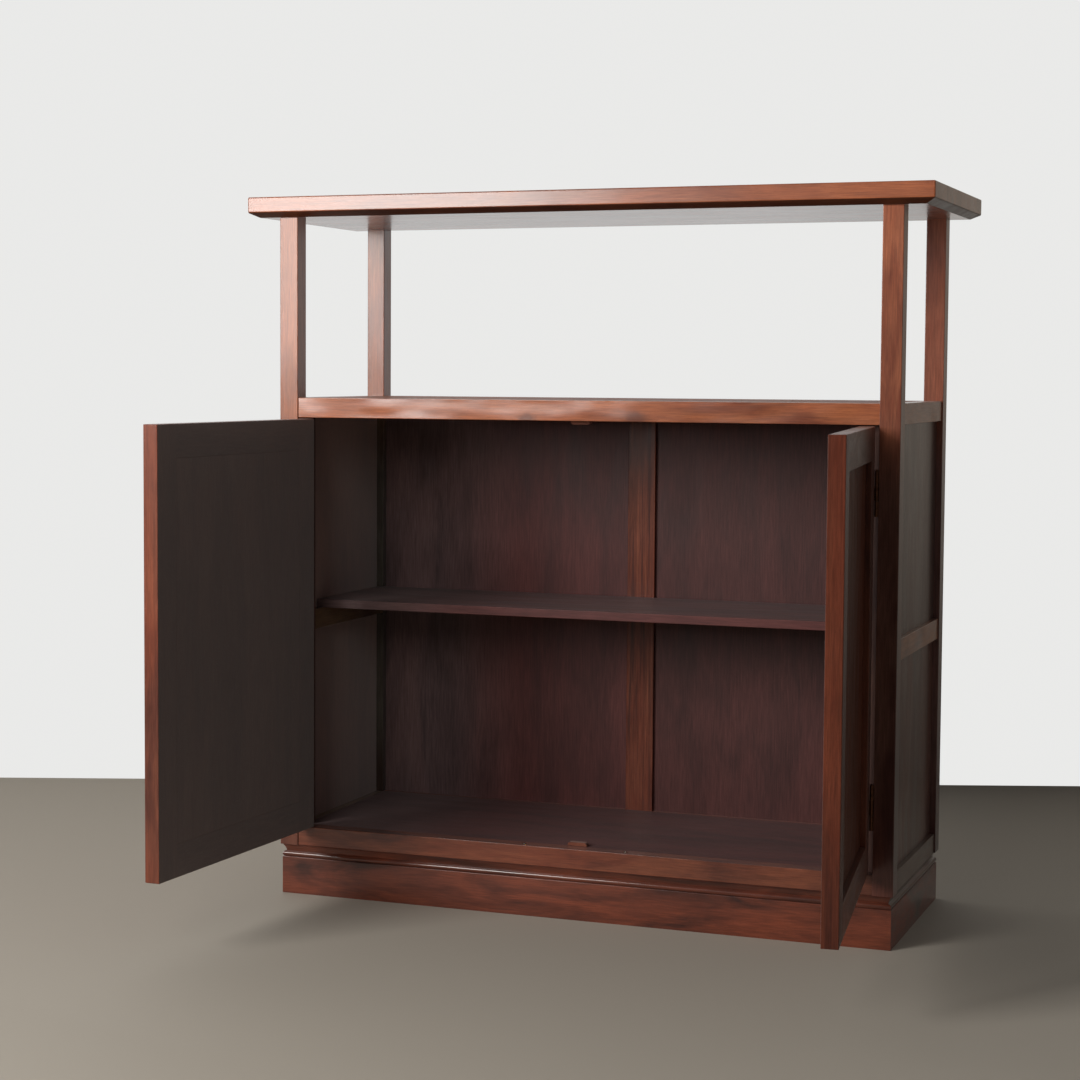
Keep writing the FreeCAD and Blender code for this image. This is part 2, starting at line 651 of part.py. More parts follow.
def stop_face(tag, low, high, round_up):
    """Face of a stop with two rounded corners away from its seat."""
    sketch = new_sketch(stops, "XZ_Plane", tag)
    wide, rad = "stop_wide", "stop_round"
    flat, far = (low, high) if round_up else (high, low)
    bend = "%s - %s" % (far, rad) if round_up else "%s + %s" % (far, rad)
    y = ((0, 6, 10) if round_up else (10, 4, 0))
    near = ((0, y[1]), (0, y[0]), (29, y[0]), (29, y[1]), (25, y[2]), (4, y[2]))
    guess = [FreeCAD.Vector(a, b, 0) for a, b in near]
    for start, end in ((0, 1), (1, 2), (2, 3), (4, 5)):
        sketch.addGeometry(Part.LineSegment(guess[start], guess[end]), False)
    up = FreeCAD.Vector(0, 0, 1)
    right_round = Part.Circle(FreeCAD.Vector(25, y[1], 0), up, 4)
    left_round = Part.Circle(FreeCAD.Vector(4, y[1], 0), up, 4)
    turn = (0, math.pi / 2) if round_up else (3 * math.pi / 2, 2 * math.pi)
    right_arc = sketch.addGeometry(Part.ArcOfCircle(right_round, *turn), False)
    turn = (math.pi / 2, math.pi) if round_up else (math.pi, 3 * math.pi / 2)
    left_arc = sketch.addGeometry(Part.ArcOfCircle(left_round, *turn), False)
    first, last = (1, 2) if round_up else (2, 1)
    joins = ((0, 2, 1, 1), (1, 2, 2, 1), (2, 2, right_arc, first), (right_arc, last, 3, 1),
             (3, 2, left_arc, first), (left_arc, last, 0, 1))
    for one, end, other, start in joins:
        sketch.addConstraint(Sketcher.Constraint("Coincident", one, end, other, start))
    sketch.addConstraint(Sketcher.Constraint("Horizontal", right_arc, 3, 2, 2))
    sketch.addConstraint(Sketcher.Constraint("Horizontal", left_arc, 3, 0, 1))
    rules = []
    places = ((0, 1, "0", bend), (1, 1, "0", flat), (2, 1, wide, flat), (2, 2, wide, bend),
              (3, 1, wide + " - " + rad, far), (3, 2, rad, far))
    for number, (index, corner, px, py) in enumerate(places):
        pin_point(sketch, rules, index, corner, (px, py), "s%d" % number)
    for target, text in rules:
        sketch.setExpression(target, text)
    return sketch


grow(stops, stop_face("floor_stop", "0", "stop_high", True), "stop_deep", True)
grow(stops, stop_face("deck_stop", "deck_low - low_rail_top - stop_high", "deck_low - low_rail_top", False),
     "stop_deep", True)
nodes.append(stops)

# ---------------------------------------------------------------- strips that cover the gap at the hinges
strips = new_body("door_strips", ("0 - open_x", "0 - front_rail_back", "low_rail_top"))
plan = new_sketch(strips, "XY_Plane", "plan")
box_outline(plan, "0", "strip_wide", "0", "stop_deep", "l")
box_outline(plan, "2 * open_x - strip_wide", "2 * open_x", "0", "stop_deep", "r")
grow(strips, plan, "deck_low - low_rail_top")
nodes.append(strips)

# ---------------------------------------------------------------- ball catches in the bottom rail
housings = new_body("catch_housings", ("0 - catch_x - catch_size", "0 - catch_y - catch_size",
                                       "low_rail_top - catch_deep"))
cups = new_sketch(housings, "XY_Plane", "cups")
bores = new_sketch(housings, "XY_Plane", "bores", "catch_deep")
for number, place in enumerate(("catch_size", "catch_size + 2 * catch_x")):
    round_outline(cups, (place, "catch_size"), "catch_size", "c%d" % number)
    round_outline(bores, (place, "catch_size"), "ball_size + 2 * pin_play", "c%d" % number)
grow(housings, cups, "catch_deep")
carve(housings, bores, "catch_deep - catch_floor")
nodes.append(housings)

for side in ("left", "right"):
    ball = doc.addObject("Part::Sphere", "catch_ball_" + side)
    ball.Label = "catch_ball_" + side
    ball.setExpression("Radius", bound("ball_size / 2"))
    ball.setExpression("Placement.Base.x", bound("0 - catch_x" if side == "left" else "catch_x"))
    ball.setExpression("Placement.Base.y", bound("0 - catch_y"))
    ball.setExpression("Placement.Base.z", bound("ball_z"))
    doc.recompute()
    nodes.append(ball)


# ---------------------------------------------------------------- doors
PANE_START = {"left": "(0 - door_edge + door_frame - groove_fill)",
              "right": "(meet_gap / 2 + door_frame - groove_fill)"}


def door_stile(side, word):
    """A door stile, grooved on its inner edge; x runs to the right on the closed door."""
    left_hand = (side == "left") == (word == "hinge")
    name = "%s_door_%s_stile" % (side, word)
    edge_x = {("left", "hinge"): "0 - door_edge", ("left", "free"): "0 - meet_gap / 2 - door_frame",
              ("right", "free"): "meet_gap / 2", ("right", "hinge"): "door_edge - door_frame"}[(side, word)]
    body = new_body(name, ("0", "0", "0"))
    hang_on_hinge(body, side, (edge_x, "(0 - door_face)", "door_low"))
    wide, thick = "door_frame", "door_thick"
    near, far = "door_recess", "door_recess + door_groove"
    inner = "door_frame - groove_deep" if left_hand else "groove_deep"
    section = new_sketch(body, "XY_Plane", "section")
    if left_hand:
        points = (("0", "0"), (wide, "0"), (wide, near), (inner, near), (inner, far), (wide, far),
                  (wide, thick), ("0", thick))
    else:
        points = (("0", "0"), (wide, "0"), (wide, thick), ("0", thick), ("0", far), (inner, far),
                  (inner, near), ("0", near))
    outline(section, points)
    grow(body, section, "door_high")
    if word == "hinge":
        for tag, start in (("low", "hinge_low"), ("top", "hinge_top")):
            seat = new_sketch(body, "XY_Plane", "hinge_seat_" + tag, start + " - seat_gap - door_low")
            if side == "left":
                box_outline(seat, "0", "leaf_sunk", "0", "leaf_wide + seat_gap")
            else:
                box_outline(seat, "door_frame - leaf_sunk", "door_frame", "0", "leaf_wide + seat_gap")
            carve(body, seat, "leaf_high + 2 * seat_gap", True)
        spots = [(y, z + " - door_low") for y, z in screw_spots("screw_y")]
        size = "screw_size + 2 * pin_play"
        if side == "left":
            row_of_holes(body, "pilots", spots, size, "0", "screw_deep", True)
        else:
            row_of_holes(body, "pilots", spots, size, "door_frame", "screw_deep", False)
    return body


def door_rail(side, word):
    """A door rail with its tongue ends; it stands between the stiles."""
    name = "%s_door_%s_rail" % (side, word)
    body = new_body(name, ("0", "0", "0"))
    level = "door_low" if word == "bottom" else "door_low + door_high - door_frame"
    hang_on_hinge(body, side, (PANE_START[side], "(0 - door_face)", level))
    near, far = "door_recess", "door_recess + door_groove"
    high = "door_frame"
    section = new_sketch(body, "YZ_Plane", "section", "groove_fill")
    if word == "bottom":
        sunk = "door_frame - groove_deep"
        points = (("0", "0"), ("door_thick", "0"), ("door_thick", high), (far, high), (far, sunk),
                  (near, sunk), (near, high), ("0", high))
    else:
        points = (("0", "0"), (near, "0"), (near, "groove_deep"), (far, "groove_deep"), (far, "0"),
                  ("door_thick", "0"), ("door_thick", high), ("0", high))
    outline(section, points)
    grow(body, section, "pane_wide")
    low = "0" if word == "bottom" else "groove_deep"
    end = "door_frame - groove_deep" if word == "bottom" else "door_frame"
    for tag, at in (("left_tongue", "0"), ("right_tongue", "groove_fill + pane_wide")):
        tongue = new_sketch(body, "YZ_Plane", tag, at)
        box_outline(tongue, near + " + groove_play", far + " - groove_play", low, end)
        grow(body, tongue, "groove_fill")
    if word == "bottom":
        seat = new_sketch(body, "XY_Plane", "strike_seat")
        middle = "catch_x - meet_gap / 2 - door_frame + groove_fill"
        if side == "left":
            middle = "door_edge - door_frame + groove_fill - catch_x"
        box_outline(seat, middle + " - strike_wide / 2", middle + " + strike_wide / 2",
                    "door_thick / 2 - strike_deep / 2", "door_thick / 2 + strike_deep / 2")
        carve(body, seat, "strike_thick", True)
    return body


def door_panel(side):
    """A flat panel with a tongue all round, flush with the frame inside."""
    body = new_body(side + "_door_panel", ("0", "0", "0"))
    corner = (PANE_START[side], "(door_recess - door_face)", "door_low + door_frame - groove_fill")
    hang_on_hinge(body, side, corner)
    field = new_sketch(body, "XZ_Plane", "field")
    box_outline(field, "groove_fill + seat_gap", "groove_fill + pane_wide - seat_gap",
                "groove_fill + seat_gap", "groove_fill + pane_high - seat_gap")
    grow(body, field, "door_thick - door_recess", True)
    rim = new_sketch(body, "XZ_Plane", "rim", "0 - groove_play")
    box_outline(rim, "0", "pane_wide + 2 * groove_fill", "0", "pane_high + 2 * groove_fill")
    grow(body, rim, "door_tongue", True)
    return body


def strike(side):
    """Brass strike plate let into the bottom edge of a door."""
    body = new_body(side + "_strike_plate", ("0", "0", "0"))
    x = "(0 - catch_x - strike_wide / 2)" if side == "left" else "(catch_x - strike_wide / 2)"
    hang_on_hinge(body, side, (x, "(0 - catch_y - strike_deep / 2)", "door_low"))
    face = new_sketch(body, "XY_Plane", "face")
    box_outline(face, "0", "strike_wide", "0", "strike_deep")
    round_outline(face, ("strike_wide / 2", "strike_deep / 2"), "strike_hole", "hole")
    grow(body, face, "strike_thick")
    return body


# ---------------------------------------------------------------- butt hinges
def leaf_spots(at_y):
    """Centres of the six screws of the two hinges on one side, over the foot of the lower hinge."""
    return [(y, z + " - hinge_low") for y, z in screw_spots(at_y)]


def hinge_leaves(side, on_door):
    """Both leaves of one kind on one side, drawn with x from the knuckle's inner side to the post."""
    word = "door" if on_door else "post"
    body = new_body("%s_hinge_%s_leaves" % (side, word), ("0", "0", "0"))
    reach = "(knuckle_size + knuckle_gap + leaf_sunk)"
    at_x = "(axis_x - knuckle_rad)" if side == "right" else "(0 - axis_x + knuckle_rad - %s)" % reach
    corner = (at_x, "(0 - axis_y - knuckle_rad)", "hinge_low")
    if on_door:
        hang_on_hinge(body, side, corner)
    else:
        for letter, text in zip("xyz", corner):
            body.setExpression("Placement.Base." + letter, bound(text))
    wood = "knuckle_size + knuckle_gap"
    if on_door:
        plate = ("%s - hinge_gap - leaf_sunk" % wood, "%s - hinge_gap + leaf_proud" % wood)
    else:
        plate = ("%s - leaf_proud" % wood, "%s + leaf_sunk" % wood)
    if side == "left":
        plate = (flip(plate[1], reach), flip(plate[0], reach))
    eye = "knuckle_rad" if side == "right" else flip("knuckle_rad", reach)
    face_y = "knuckle_size + knuckle_gap"
    third = "knuckle_high + knuckle_gap"
    steps = (third,) if on_door else ("0", "2 * (%s)" % third)
    for tag, lift in (("low", "0"), ("top", "hinge_top - hinge_low")):
        flat = new_sketch(body, "XY_Plane", tag + "_plate", lift)
        box_outline(flat, plate[0], plate[1], face_y, face_y + " + leaf_wide")
        grow(body, flat, "leaf_high")
        for number, step in enumerate(steps):
            level = "%s + %s" % (lift, step)
            curl = new_sketch(body, "XY_Plane", "%s_curl_%d" % (tag, number), level)
            box_outline(curl, plate[0], plate[1], "knuckle_rad", face_y)
            grow(body, curl, "knuckle_high")
            barrel = new_sketch(body, "XY_Plane", "%s_barrel_%d" % (tag, number), level)
            round_outline(barrel, (eye, "knuckle_rad"), "knuckle_size", "e")
            grow(body, barrel, "knuckle_high")
        bore = new_sketch(body, "XY_Plane", tag + "_bore", lift)
        round_outline(bore, (eye, "knuckle_rad"), "pin_size + 2 * pin_play", "e")
        carve(body, bore, "leaf_high", True)
    # the screw holes run through the plate from its open face
    open_face = plate[0] if (side == "right") != on_door else plate[1]
    inward = (side == "right") != on_door
    spots = leaf_spots(face_y + " + screw_y")
    row_of_holes(body, "screw_holes", spots, "screw_size + 2 * pin_play", open_face, "leaf_thick", inward)
    row_of_holes(body, "head_seats", spots, "head_size + 2 * pin_play", open_face, "head_high", inward)
    return body


def hinge_screws(name, on_door, side=None):
    """Screws through the leaves into the wood; a shank and a flush head each."""
    body = new_body(name, ("0", "0", "0"))
    sides = ("left", "right") if side is None else (side,)
    reach = "(leaf_thick + screw_deep - leaf_sunk)"
    if on_door:
        # x starts at the tip of the shank on the right door and at the head on the left one
        tip = "(door_edge - screw_deep)" if side == "right" else "(0 - door_edge - leaf_proud)"
        hang_on_hinge(body, side, (tip, "(0 - door_face)", "hinge_low"))
    else:
        for letter, text in zip("xyz", ("0 - open_x - screw_deep", "0 - door_face", "hinge_low")):
            body.setExpression("Placement.Base." + letter, bound(text))
    spots = leaf_spots("screw_y")
    full = "screw_deep + leaf_proud"
    for one in sides:
        if on_door:
            shank_at, head_at = ("0", full + " - head_high") if one == "right" else ("0", "0")
        else:
            gap = "2 * open_x + 2 * screw_deep"
            shank_at = "0" if one == "left" else "%s - (%s)" % (gap, full)
            head_at = full + " - head_high" if one == "left" else shank_at
        shank = new_sketch(body, "YZ_Plane", one + "_shanks", shank_at)
        head = new_sketch(body, "YZ_Plane", one + "_heads", head_at)
        for number, spot in enumerate(spots):
            round_outline(shank, spot, "screw_size", "c%d" % number)
            round_outline(head, spot, "head_size", "c%d" % number)
        grow(body, shank, full)
        grow(body, head, "head_high")
    return body


for side in ("left", "right"):
    nodes.append(door_stile(side, "hinge"))
    nodes.append(door_stile(side, "free"))
    nodes.append(door_rail(side, "top"))
    nodes.append(door_rail(side, "bottom"))
    nodes.append(door_panel(side))
    nodes.append(strike(side))
    nodes.append(hinge_leaves(side, False))
    nodes.append(hinge_leaves(side, True))
    nodes.append(hinge_screws(side + "_hinge_door_screws", True, side))
nodes.append(hinge_screws("hinge_post_screws", False))

pins = new_body("hinge_pins", ("0 - axis_x - pin_head_size", "0 - axis_y - pin_head_size", "hinge_low"))
left_eye = ("pin_head_size", "pin_head_size")
right_eye = ("pin_head_size + 2 * axis_x", "pin_head_size")
for tag, lift in (("low", "0"), ("top", "hinge_top - hinge_low")):
    rods = new_sketch(pins, "XY_Plane", tag + "_rods", lift)
    caps = new_sketch(pins, "XY_Plane", tag + "_caps", lift + " + leaf_high")
    for number, eye in enumerate((left_eye, right_eye)):
        round_outline(rods, eye, "pin_size", "c%d" % number)
        round_outline(caps, eye, "pin_head_size", "c%d" % number)
    grow(pins, rods, "leaf_high")
    grow(pins, caps, "pin_head")
nodes.append(pins)

# ---------------------------------------------------------------- check and write
doc.recompute()
for item in doc.Objects:
    if "Invalid" in item.State or "Error" in item.State:
        raise RuntimeError("not sound: " + item.Name)
for node in nodes:
    check(node)
    node.Shape.exportStep("parts/" + node.Label + ".step")
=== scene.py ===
import json
import math

import bmesh
import bpy
from mathutils import Matrix, Vector


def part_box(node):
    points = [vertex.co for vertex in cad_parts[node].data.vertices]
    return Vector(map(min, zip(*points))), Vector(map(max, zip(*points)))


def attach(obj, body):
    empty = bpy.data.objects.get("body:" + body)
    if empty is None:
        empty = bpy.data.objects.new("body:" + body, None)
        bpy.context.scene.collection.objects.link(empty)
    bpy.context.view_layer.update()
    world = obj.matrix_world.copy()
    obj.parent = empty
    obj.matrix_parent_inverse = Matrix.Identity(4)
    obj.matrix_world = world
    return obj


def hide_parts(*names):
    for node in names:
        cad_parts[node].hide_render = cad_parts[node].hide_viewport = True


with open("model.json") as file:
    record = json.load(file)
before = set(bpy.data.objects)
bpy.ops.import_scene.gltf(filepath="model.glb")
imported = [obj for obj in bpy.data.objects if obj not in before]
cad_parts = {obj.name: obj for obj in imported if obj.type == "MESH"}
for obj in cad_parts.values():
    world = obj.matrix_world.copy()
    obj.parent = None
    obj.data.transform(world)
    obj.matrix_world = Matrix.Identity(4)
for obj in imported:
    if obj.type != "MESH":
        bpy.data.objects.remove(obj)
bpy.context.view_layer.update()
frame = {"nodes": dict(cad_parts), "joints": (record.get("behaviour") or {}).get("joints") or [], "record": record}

bl_info = {
    "name": "Bar Cabinet",
    "version": (1, 0, 0),
    "blender": (4, 5, 0),
    "location": "3D View > Sidebar > Cabinet",
    "description": "Finishes the boards, doors and brass of a bar cabinet and sets up its studio",
    "category": "Object",
}

NODES = frame["nodes"]
RECORD = frame["record"]
BODIES = RECORD["behaviour"]["bodies"]
BODY_OF = {node: body for body, members in BODIES.items() for node in members}
JOINTS = {joint["child"]: joint for joint in frame["joints"]}
SIDES = ("left", "right")
AXES = {"x": 0, "y": 1, "z": 2}
PLACES = ("front", "right", "rear", "left")
MM = 0.001
MERGE = 2e-6  # corners closer than this are one
NEAR = 5 * MERGE  # a corner closer than this to a face of a box lies on it
FACING = 0.9  # least part of a normal along an axis for a face that looks that way


# ---------------------------------------------------------------- sizes and colours to change
def colour(name, value, note):
    """A colour property."""
    return bpy.props.FloatVectorProperty(name=name, description=note, subtype="COLOR", size=3,
                                         min=0, max=1, default=value)


def spot(name, value, note):
    """A place property, in metres."""
    return bpy.props.FloatVectorProperty(name=name, description=note, subtype="TRANSLATION", size=3,
                                         default=value)


def length(name, value, note):
    """A length property, in metres."""
    return bpy.props.FloatProperty(name=name, description=note, unit="LENGTH", min=0, default=value)


def share(name, value, note):
    """A property from nought to one."""
    return bpy.props.FloatProperty(name=name, description=note, subtype="FACTOR", min=0, max=1,
                                   default=value)


def degrees(name, value, note):
    """An angle property, given in degrees."""
    return bpy.props.FloatProperty(name=name, description=note, subtype="ANGLE",
                                   default=math.radians(value))


def power(name, value, note):
    """The power of a lamp, in watts."""
    return bpy.props.FloatProperty(name=name, description=note, min=0, default=value)


class CabinetWood(bpy.types.PropertyGroup):
    """Stain and lacquer of the wood."""
    frame_light: colour("Frame light", (0.46, 0.15, 0.055), "Light figure of posts, rails and top")
    frame_mid: colour("Frame middle", (0.31, 0.08, 0.028), "Main colour of posts, rails and top")
    frame_dark: colour("Frame dark", (0.16, 0.038, 0.015), "Dark figure of posts, rails and top")
    # panel colours: the panels' own tone, made darker in part as painted shade on the cabinet's sides
    panel_light: colour("Panel light", (0.15, 0.052, 0.032), "Light figure of the panels")
    panel_mid: colour("Panel middle", (0.1, 0.034, 0.021), "Main colour of the panels")
    panel_dark: colour("Panel dark", (0.055, 0.02, 0.013), "Dark figure of the panels")
    door_light: colour("Door light", (0.24, 0.07, 0.032), "Light figure of the doors")
    door_mid: colour("Door middle", (0.15, 0.036, 0.018), "Main colour of the doors")
    door_dark: colour("Door dark", (0.075, 0.022, 0.014), "Dark figure of the doors")
    # door inside colours: the wood's own tone, greyed in part as painted haze of light
    lining_light: colour("Door inside light", (0.105, 0.058, 0.045),
                         "Light figure of the doors' inner faces")
    lining_mid: colour("Door inside middle", (0.08, 0.044, 0.035),
                       "Main colour of the doors' inner faces")
    lining_dark: colour("Door inside dark", (0.06, 0.033, 0.027),
                        "Dark figure of the doors' inner faces")
    inner_light: colour("Inside light", (0.14, 0.044, 0.04), "Light figure of the boards inside")
    inner_mid: colour("Inside middle", (0.095, 0.029, 0.0265), "Main colour of the boards inside")
    inner_dark: colour("Inside dark", (0.06, 0.02, 0.019), "Dark figure of the boards inside")
    base_light: colour("Plinth light", (0.2, 0.045, 0.019), "Light figure of the plinth")
    base_mid: colour("Plinth middle", (0.08, 0.019, 0.01), "Main colour of the plinth")
    base_dark: colour("Plinth dark", (0.03, 0.009, 0.006), "Dark figure of the plinth")
    bare_light: colour("Bare wood light", (0.6, 0.45, 0.29), "Light figure of the hidden blocks")
    bare_mid: colour("Bare wood middle", (0.5, 0.36, 0.22), "Main colour of the hidden blocks")
    bare_dark: colour("Bare wood dark", (0.38, 0.25, 0.14), "Dark figure of the hidden blocks")
    arris: length("Arris", 0.9 * MM, "Rounding of the edges of boards")
    door_arris: length("Door arris", 1.1 * MM, "Rounding of the edges of doors")
    lacquer: share("Lacquer", 0.75, "Weight of the clear coat")
    lacquer_rough: share("Lacquer roughness", 0.22, "Roughness of the clear coat")
    wood_rough: share("Wood roughness", 0.4, "Roughness under the clear coat")


class CabinetBrass(bpy.types.PropertyGroup):
    """Brass of hinges, screws and catches."""
    # the hinges' brass is darkened as painted shade
    shaded_brass: colour("Shaded", (0.16, 0.07, 0.04), "Darkened brass of the hinges")
    shaded_brass_deep: colour("Aged, deep", (0.07, 0.032, 0.02), "Darkest tone of the hinges")
    bright: colour("Bright", (0.83, 0.6, 0.3), "Clean brass")
    dull: colour("Dull", (0.42, 0.27, 0.11), "Tarnished brass")
    ball: colour("Ball", (0.95, 0.92, 0.87), "Hard bright metal of the catch balls")
    slot_wide: length("Slot width", 0.9 * MM, "Width of the slot in a screw head")
    slot_deep: length("Slot depth", 0.5 * MM, "Depth of the slot in a screw head")
    soften: length("Softening", 0.15 * MM, "Rounding of the edges of the hinges")


class CabinetStage(bpy.types.PropertyGroup):
    """Floor, light and camera."""
    floor: colour("Floor", (0.41, 0.37, 0.315), "Colour of the floor")
    wall: colour("Background", (0.82, 0.82, 0.81), "Colour behind the cabinet")
    wall_dim: colour("Background in shade", (0.82, 0.72, 0.6),
                     "Colour of the background's shaded part")
    reach: length("Reach", 8.0, "How far the floor and the wall run from the cabinet")
    key_place: spot("Window place", (-1.43, -2.65, 1.53), "Middle of the window light")
    key_wide: length("Window width", 1.1, "Width of the window light")
    key_high: length("Window height", 1.5, "Height of the window light")
    key_watts: power("Window power", 73, "Power of the window light, in watts")
    bounce_place: spot("Bounce place", (-0.1, -3.2, 1.8), "Middle of the weak front light")
    bounce_wide: length("Bounce width", 1.2, "Width and height of the weak front light")
    bounce_watts: power("Bounce power", 24, "Power of the weak front light, in watts")
    fill: share("Room light", 0.13, "Level of the even light from the rest of the room")
    wall_place: spot("Wall place", (0.0, 1.025, 0.0), "Foot of the wall behind")
    wall_turn: degrees("Wall turn", 20.5, "Turn of the wall behind")
    lens: length("Focal length", 0.0767, "Focal length of the camera")
    eye: spot("Camera place", (1.07465, -3.28347, 0.79457), "Where the camera stands")
    yaw: degrees("Yaw", 21.480, "Turn of the camera to the left")
    pitch: degrees("Pitch", 3.748, "Tilt of the camera downwards")
    roll: degrees("Roll", 0.283, "Lean of the camera")
    shift: bpy.props.FloatVectorProperty(name="Shift", size=2, default=(0.0585, -0.0178),
                                         description="Shift of the lens, as shares of the image")


# ---------------------------------------------------------------- node trees
def put(tree, kind, inputs=None, **settings):
    """A node with its settings; an input takes a value or another node's output."""
    item = tree.nodes.new(kind)
    for name, value in settings.items():
        setattr(item, name, value)
    for key, value in (inputs or {}).items():
        if isinstance(value, bpy.types.NodeSocket):
            tree.links.new(value, item.inputs[key])
        else:
            item.inputs[key].default_value = value
    return item


def maths(tree, operation, *values):
    """Output of a maths node."""
    return put(tree, "ShaderNodeMath", dict(enumerate(values)), operation=operation).outputs[0]


def vector_maths(tree, operation, *values):
    """Output of a vector maths node."""
    node = put(tree, "ShaderNodeVectorMath", dict(enumerate(values)), operation=operation)
    return node.outputs[0]


def remap(tree, value, low, high, to_low=0.0, to_high=1.0):
    """A value eased from one range to another."""
    sockets = {0: value, 1: low, 2: high, 3: to_low, 4: to_high}
    return put(tree, "ShaderNodeMapRange", sockets, interpolation_type="SMOOTHSTEP").outputs[0]


def blend(tree, factor, one, other, mode="MIX"):
    """Two colours mixed."""
    node = put(tree, "ShaderNodeMix", {0: factor, 6: one, 7: other}, data_type="RGBA",
               blend_type=mode)
    return node.outputs[2]


def times(tree, one, other):
    """Product of two values."""
    return maths(tree, "MULTIPLY", one, other)


def multiplied(tree, base, other):
    """Product of two colours."""
    return blend(tree, 1.0, base, other, "MULTIPLY")


def solid(colours):
    """A colour with its cover, as sockets take it."""
    return tuple(colours) + (1.0,)


def xyz(tree, parts):
    """A place or a turn from its parts; those left out are nought."""
    return put(tree, "ShaderNodeCombineXYZ", parts).outputs[0]


def grey(tree, value):
    """A value as a colour."""
    return put(tree, "ShaderNodeCombineColor", {0: value, 1: value, 2: value}).outputs[0]


def noise(tree, place, along, across, detail=2.0, rough=0.5, twist=0.0):
    """Noise whose cells are drawn out along the grain; along and across are cells a metre."""
    scaled = vector_maths(tree, "MULTIPLY", place, (along, across, across))
    return put(tree, "ShaderNodeTexNoise", {"Vector": scaled, "Scale": 1.0, "Detail": detail,
                                            "Roughness": rough, "Distortion": twist}).outputs[0]


def attribute(tree, name, output):
    """A value that the mesh carries."""
    return put(tree, "ShaderNodeAttribute", attribute_name=name).outputs[output]


def object_place(tree):
    """Where a point is in the cabinet's frame."""
    return put(tree, "ShaderNodeTexCoord").outputs["Object"]


def split(tree, place):
    """The X, Y and Z of a place."""
    return put(tree, "ShaderNodeSeparateXYZ", {0: place}).outputs


def new_material(name):
    """An empty node material and its output node."""
    material = bpy.data.materials.new(name)
    material.use_nodes = True
    tree = material.node_tree
    tree.nodes.clear()
    return material, tree, put(tree, "ShaderNodeOutputMaterial")


def surface(tree, output, kind, inputs):
    """The last shader of a material."""
    shader = put(tree, kind, inputs)
    tree.links.new(shader.outputs[0], output.inputs[0])


# ---------------------------------------------------------------- wood
# noises of wood and brass: cells a metre along and across, detail, roughness and distortion
FIGURE = {
    "broad": (2.6, 13.0, 3.0, 0.55, 0.8),
    "patch": (6.0, 24.0, 3.0, 0.55, 1.1),
    "sway": (1.8, 9.0, 2.0),
    "ribbon": (3.0, 150.0, 3.0, 0.6, 0.4),
    "line": (26.0, 430.0, 2.0, 0.6, 0.3),
    "fibre": (32.0, 1100.0, 3.0, 0.65),
    "pores": (190.0, 4200.0, 1.0),
    "rub": (40.0, 160.0, 3.0),
    "scratch": (18.0, 620.0, 2.0, 0.6, 0.5),
    "rare": (6.0, 9.0, 1.0),
    "swell": (10.0, 24.0, 1.0),
    "knot": (60.0, 60.0),
    "tarnish": (240.0, 240.0, 4.0, 0.65),
    "brushed": (300.0, 9000.0),
}
# noise from and to, then the values that they become where these aren't nought and one
LEVELS = {
    "broad": (0.36, 0.6),
    "cloud": (0.3, 0.7),
    "shade": (0.42, 0.24),
    "bands": (0.55, 1.0),
    "ribbon_dark": (0.5, 0.36),
    "ribbon_light": (0.55, 0.72),
    "line": (0.3, 0.7, 0.87, 1.13),
    "fibre": (0.25, 0.75, 0.8, 1.18),
    "pores": (0.62, 0.72),
    "rub": (0.4, 0.6, 0.15, 0.7),
    "scratch": (0.74, 0.8),
    "rare": (0.56, 0.68),
    "tarnish": (0.42, 0.68),
}
RING_PITH = (0.0, 0.035, 0.055)
RING_STRETCH = (0.08, 1.0, 1.0)
RING_SWAY = 0.05
RINGS_A_METRE = 46.0
PORE_DARK = 0.5
# middle of each knot in the cabinet's frame, and its reach
KNOTS = (((-0.0735, -0.172, 0.725), 0.009), ((0.091, -0.172, 0.727), 0.012))
KNOT_STRETCH = (0.55, 1.0, 1.0)
KNOT_RAGGED = 0.9
# where a knot begins and is full, in reaches from its middle
KNOT_EDGE = (1.7, 0.7)
KNOT_COVER = 0.75
KNOT_DARK = 0.6
RUB_LIGHT = 1.5
SCUFF_COVER = 0.3
PORE_DULL = 0.18
SCUFF_DULL = 0.25
DULL_SWING = 0.05
SWELL_HIGH = 0.9 * MM
RELIEF_HIGH = 0.12 * MM
FIBRE_RELIEF = 0.4
# the inside of the cupboard, where the wood takes painted shade: half its width, its front, its back and its top
INSIDE = (0.454, -0.1455, 0.160, 0.722)
INSIDE_SHADE_TINT = (0.52, 1.1, 1.45)
# heights between which each painted shade comes in, downwards: below the deck, then at the foot
BELOW_DECK_SHADE = (0.76, 0.62)
BELOW_DECK_SHADE_TINT = (0.53, 0.76, 1.2)
FOOT_SHADE = (0.24, 0.13)
FOOT_SHADE_TINT = (0.72, 0.52, 0.5)
# how far to the left the painted grey haze of light comes in and is full
GREY_HAZE_LEFT = (0.18, 0.37)
GREY_HAZE_TINT = (1.6, 3.2, 3.4)
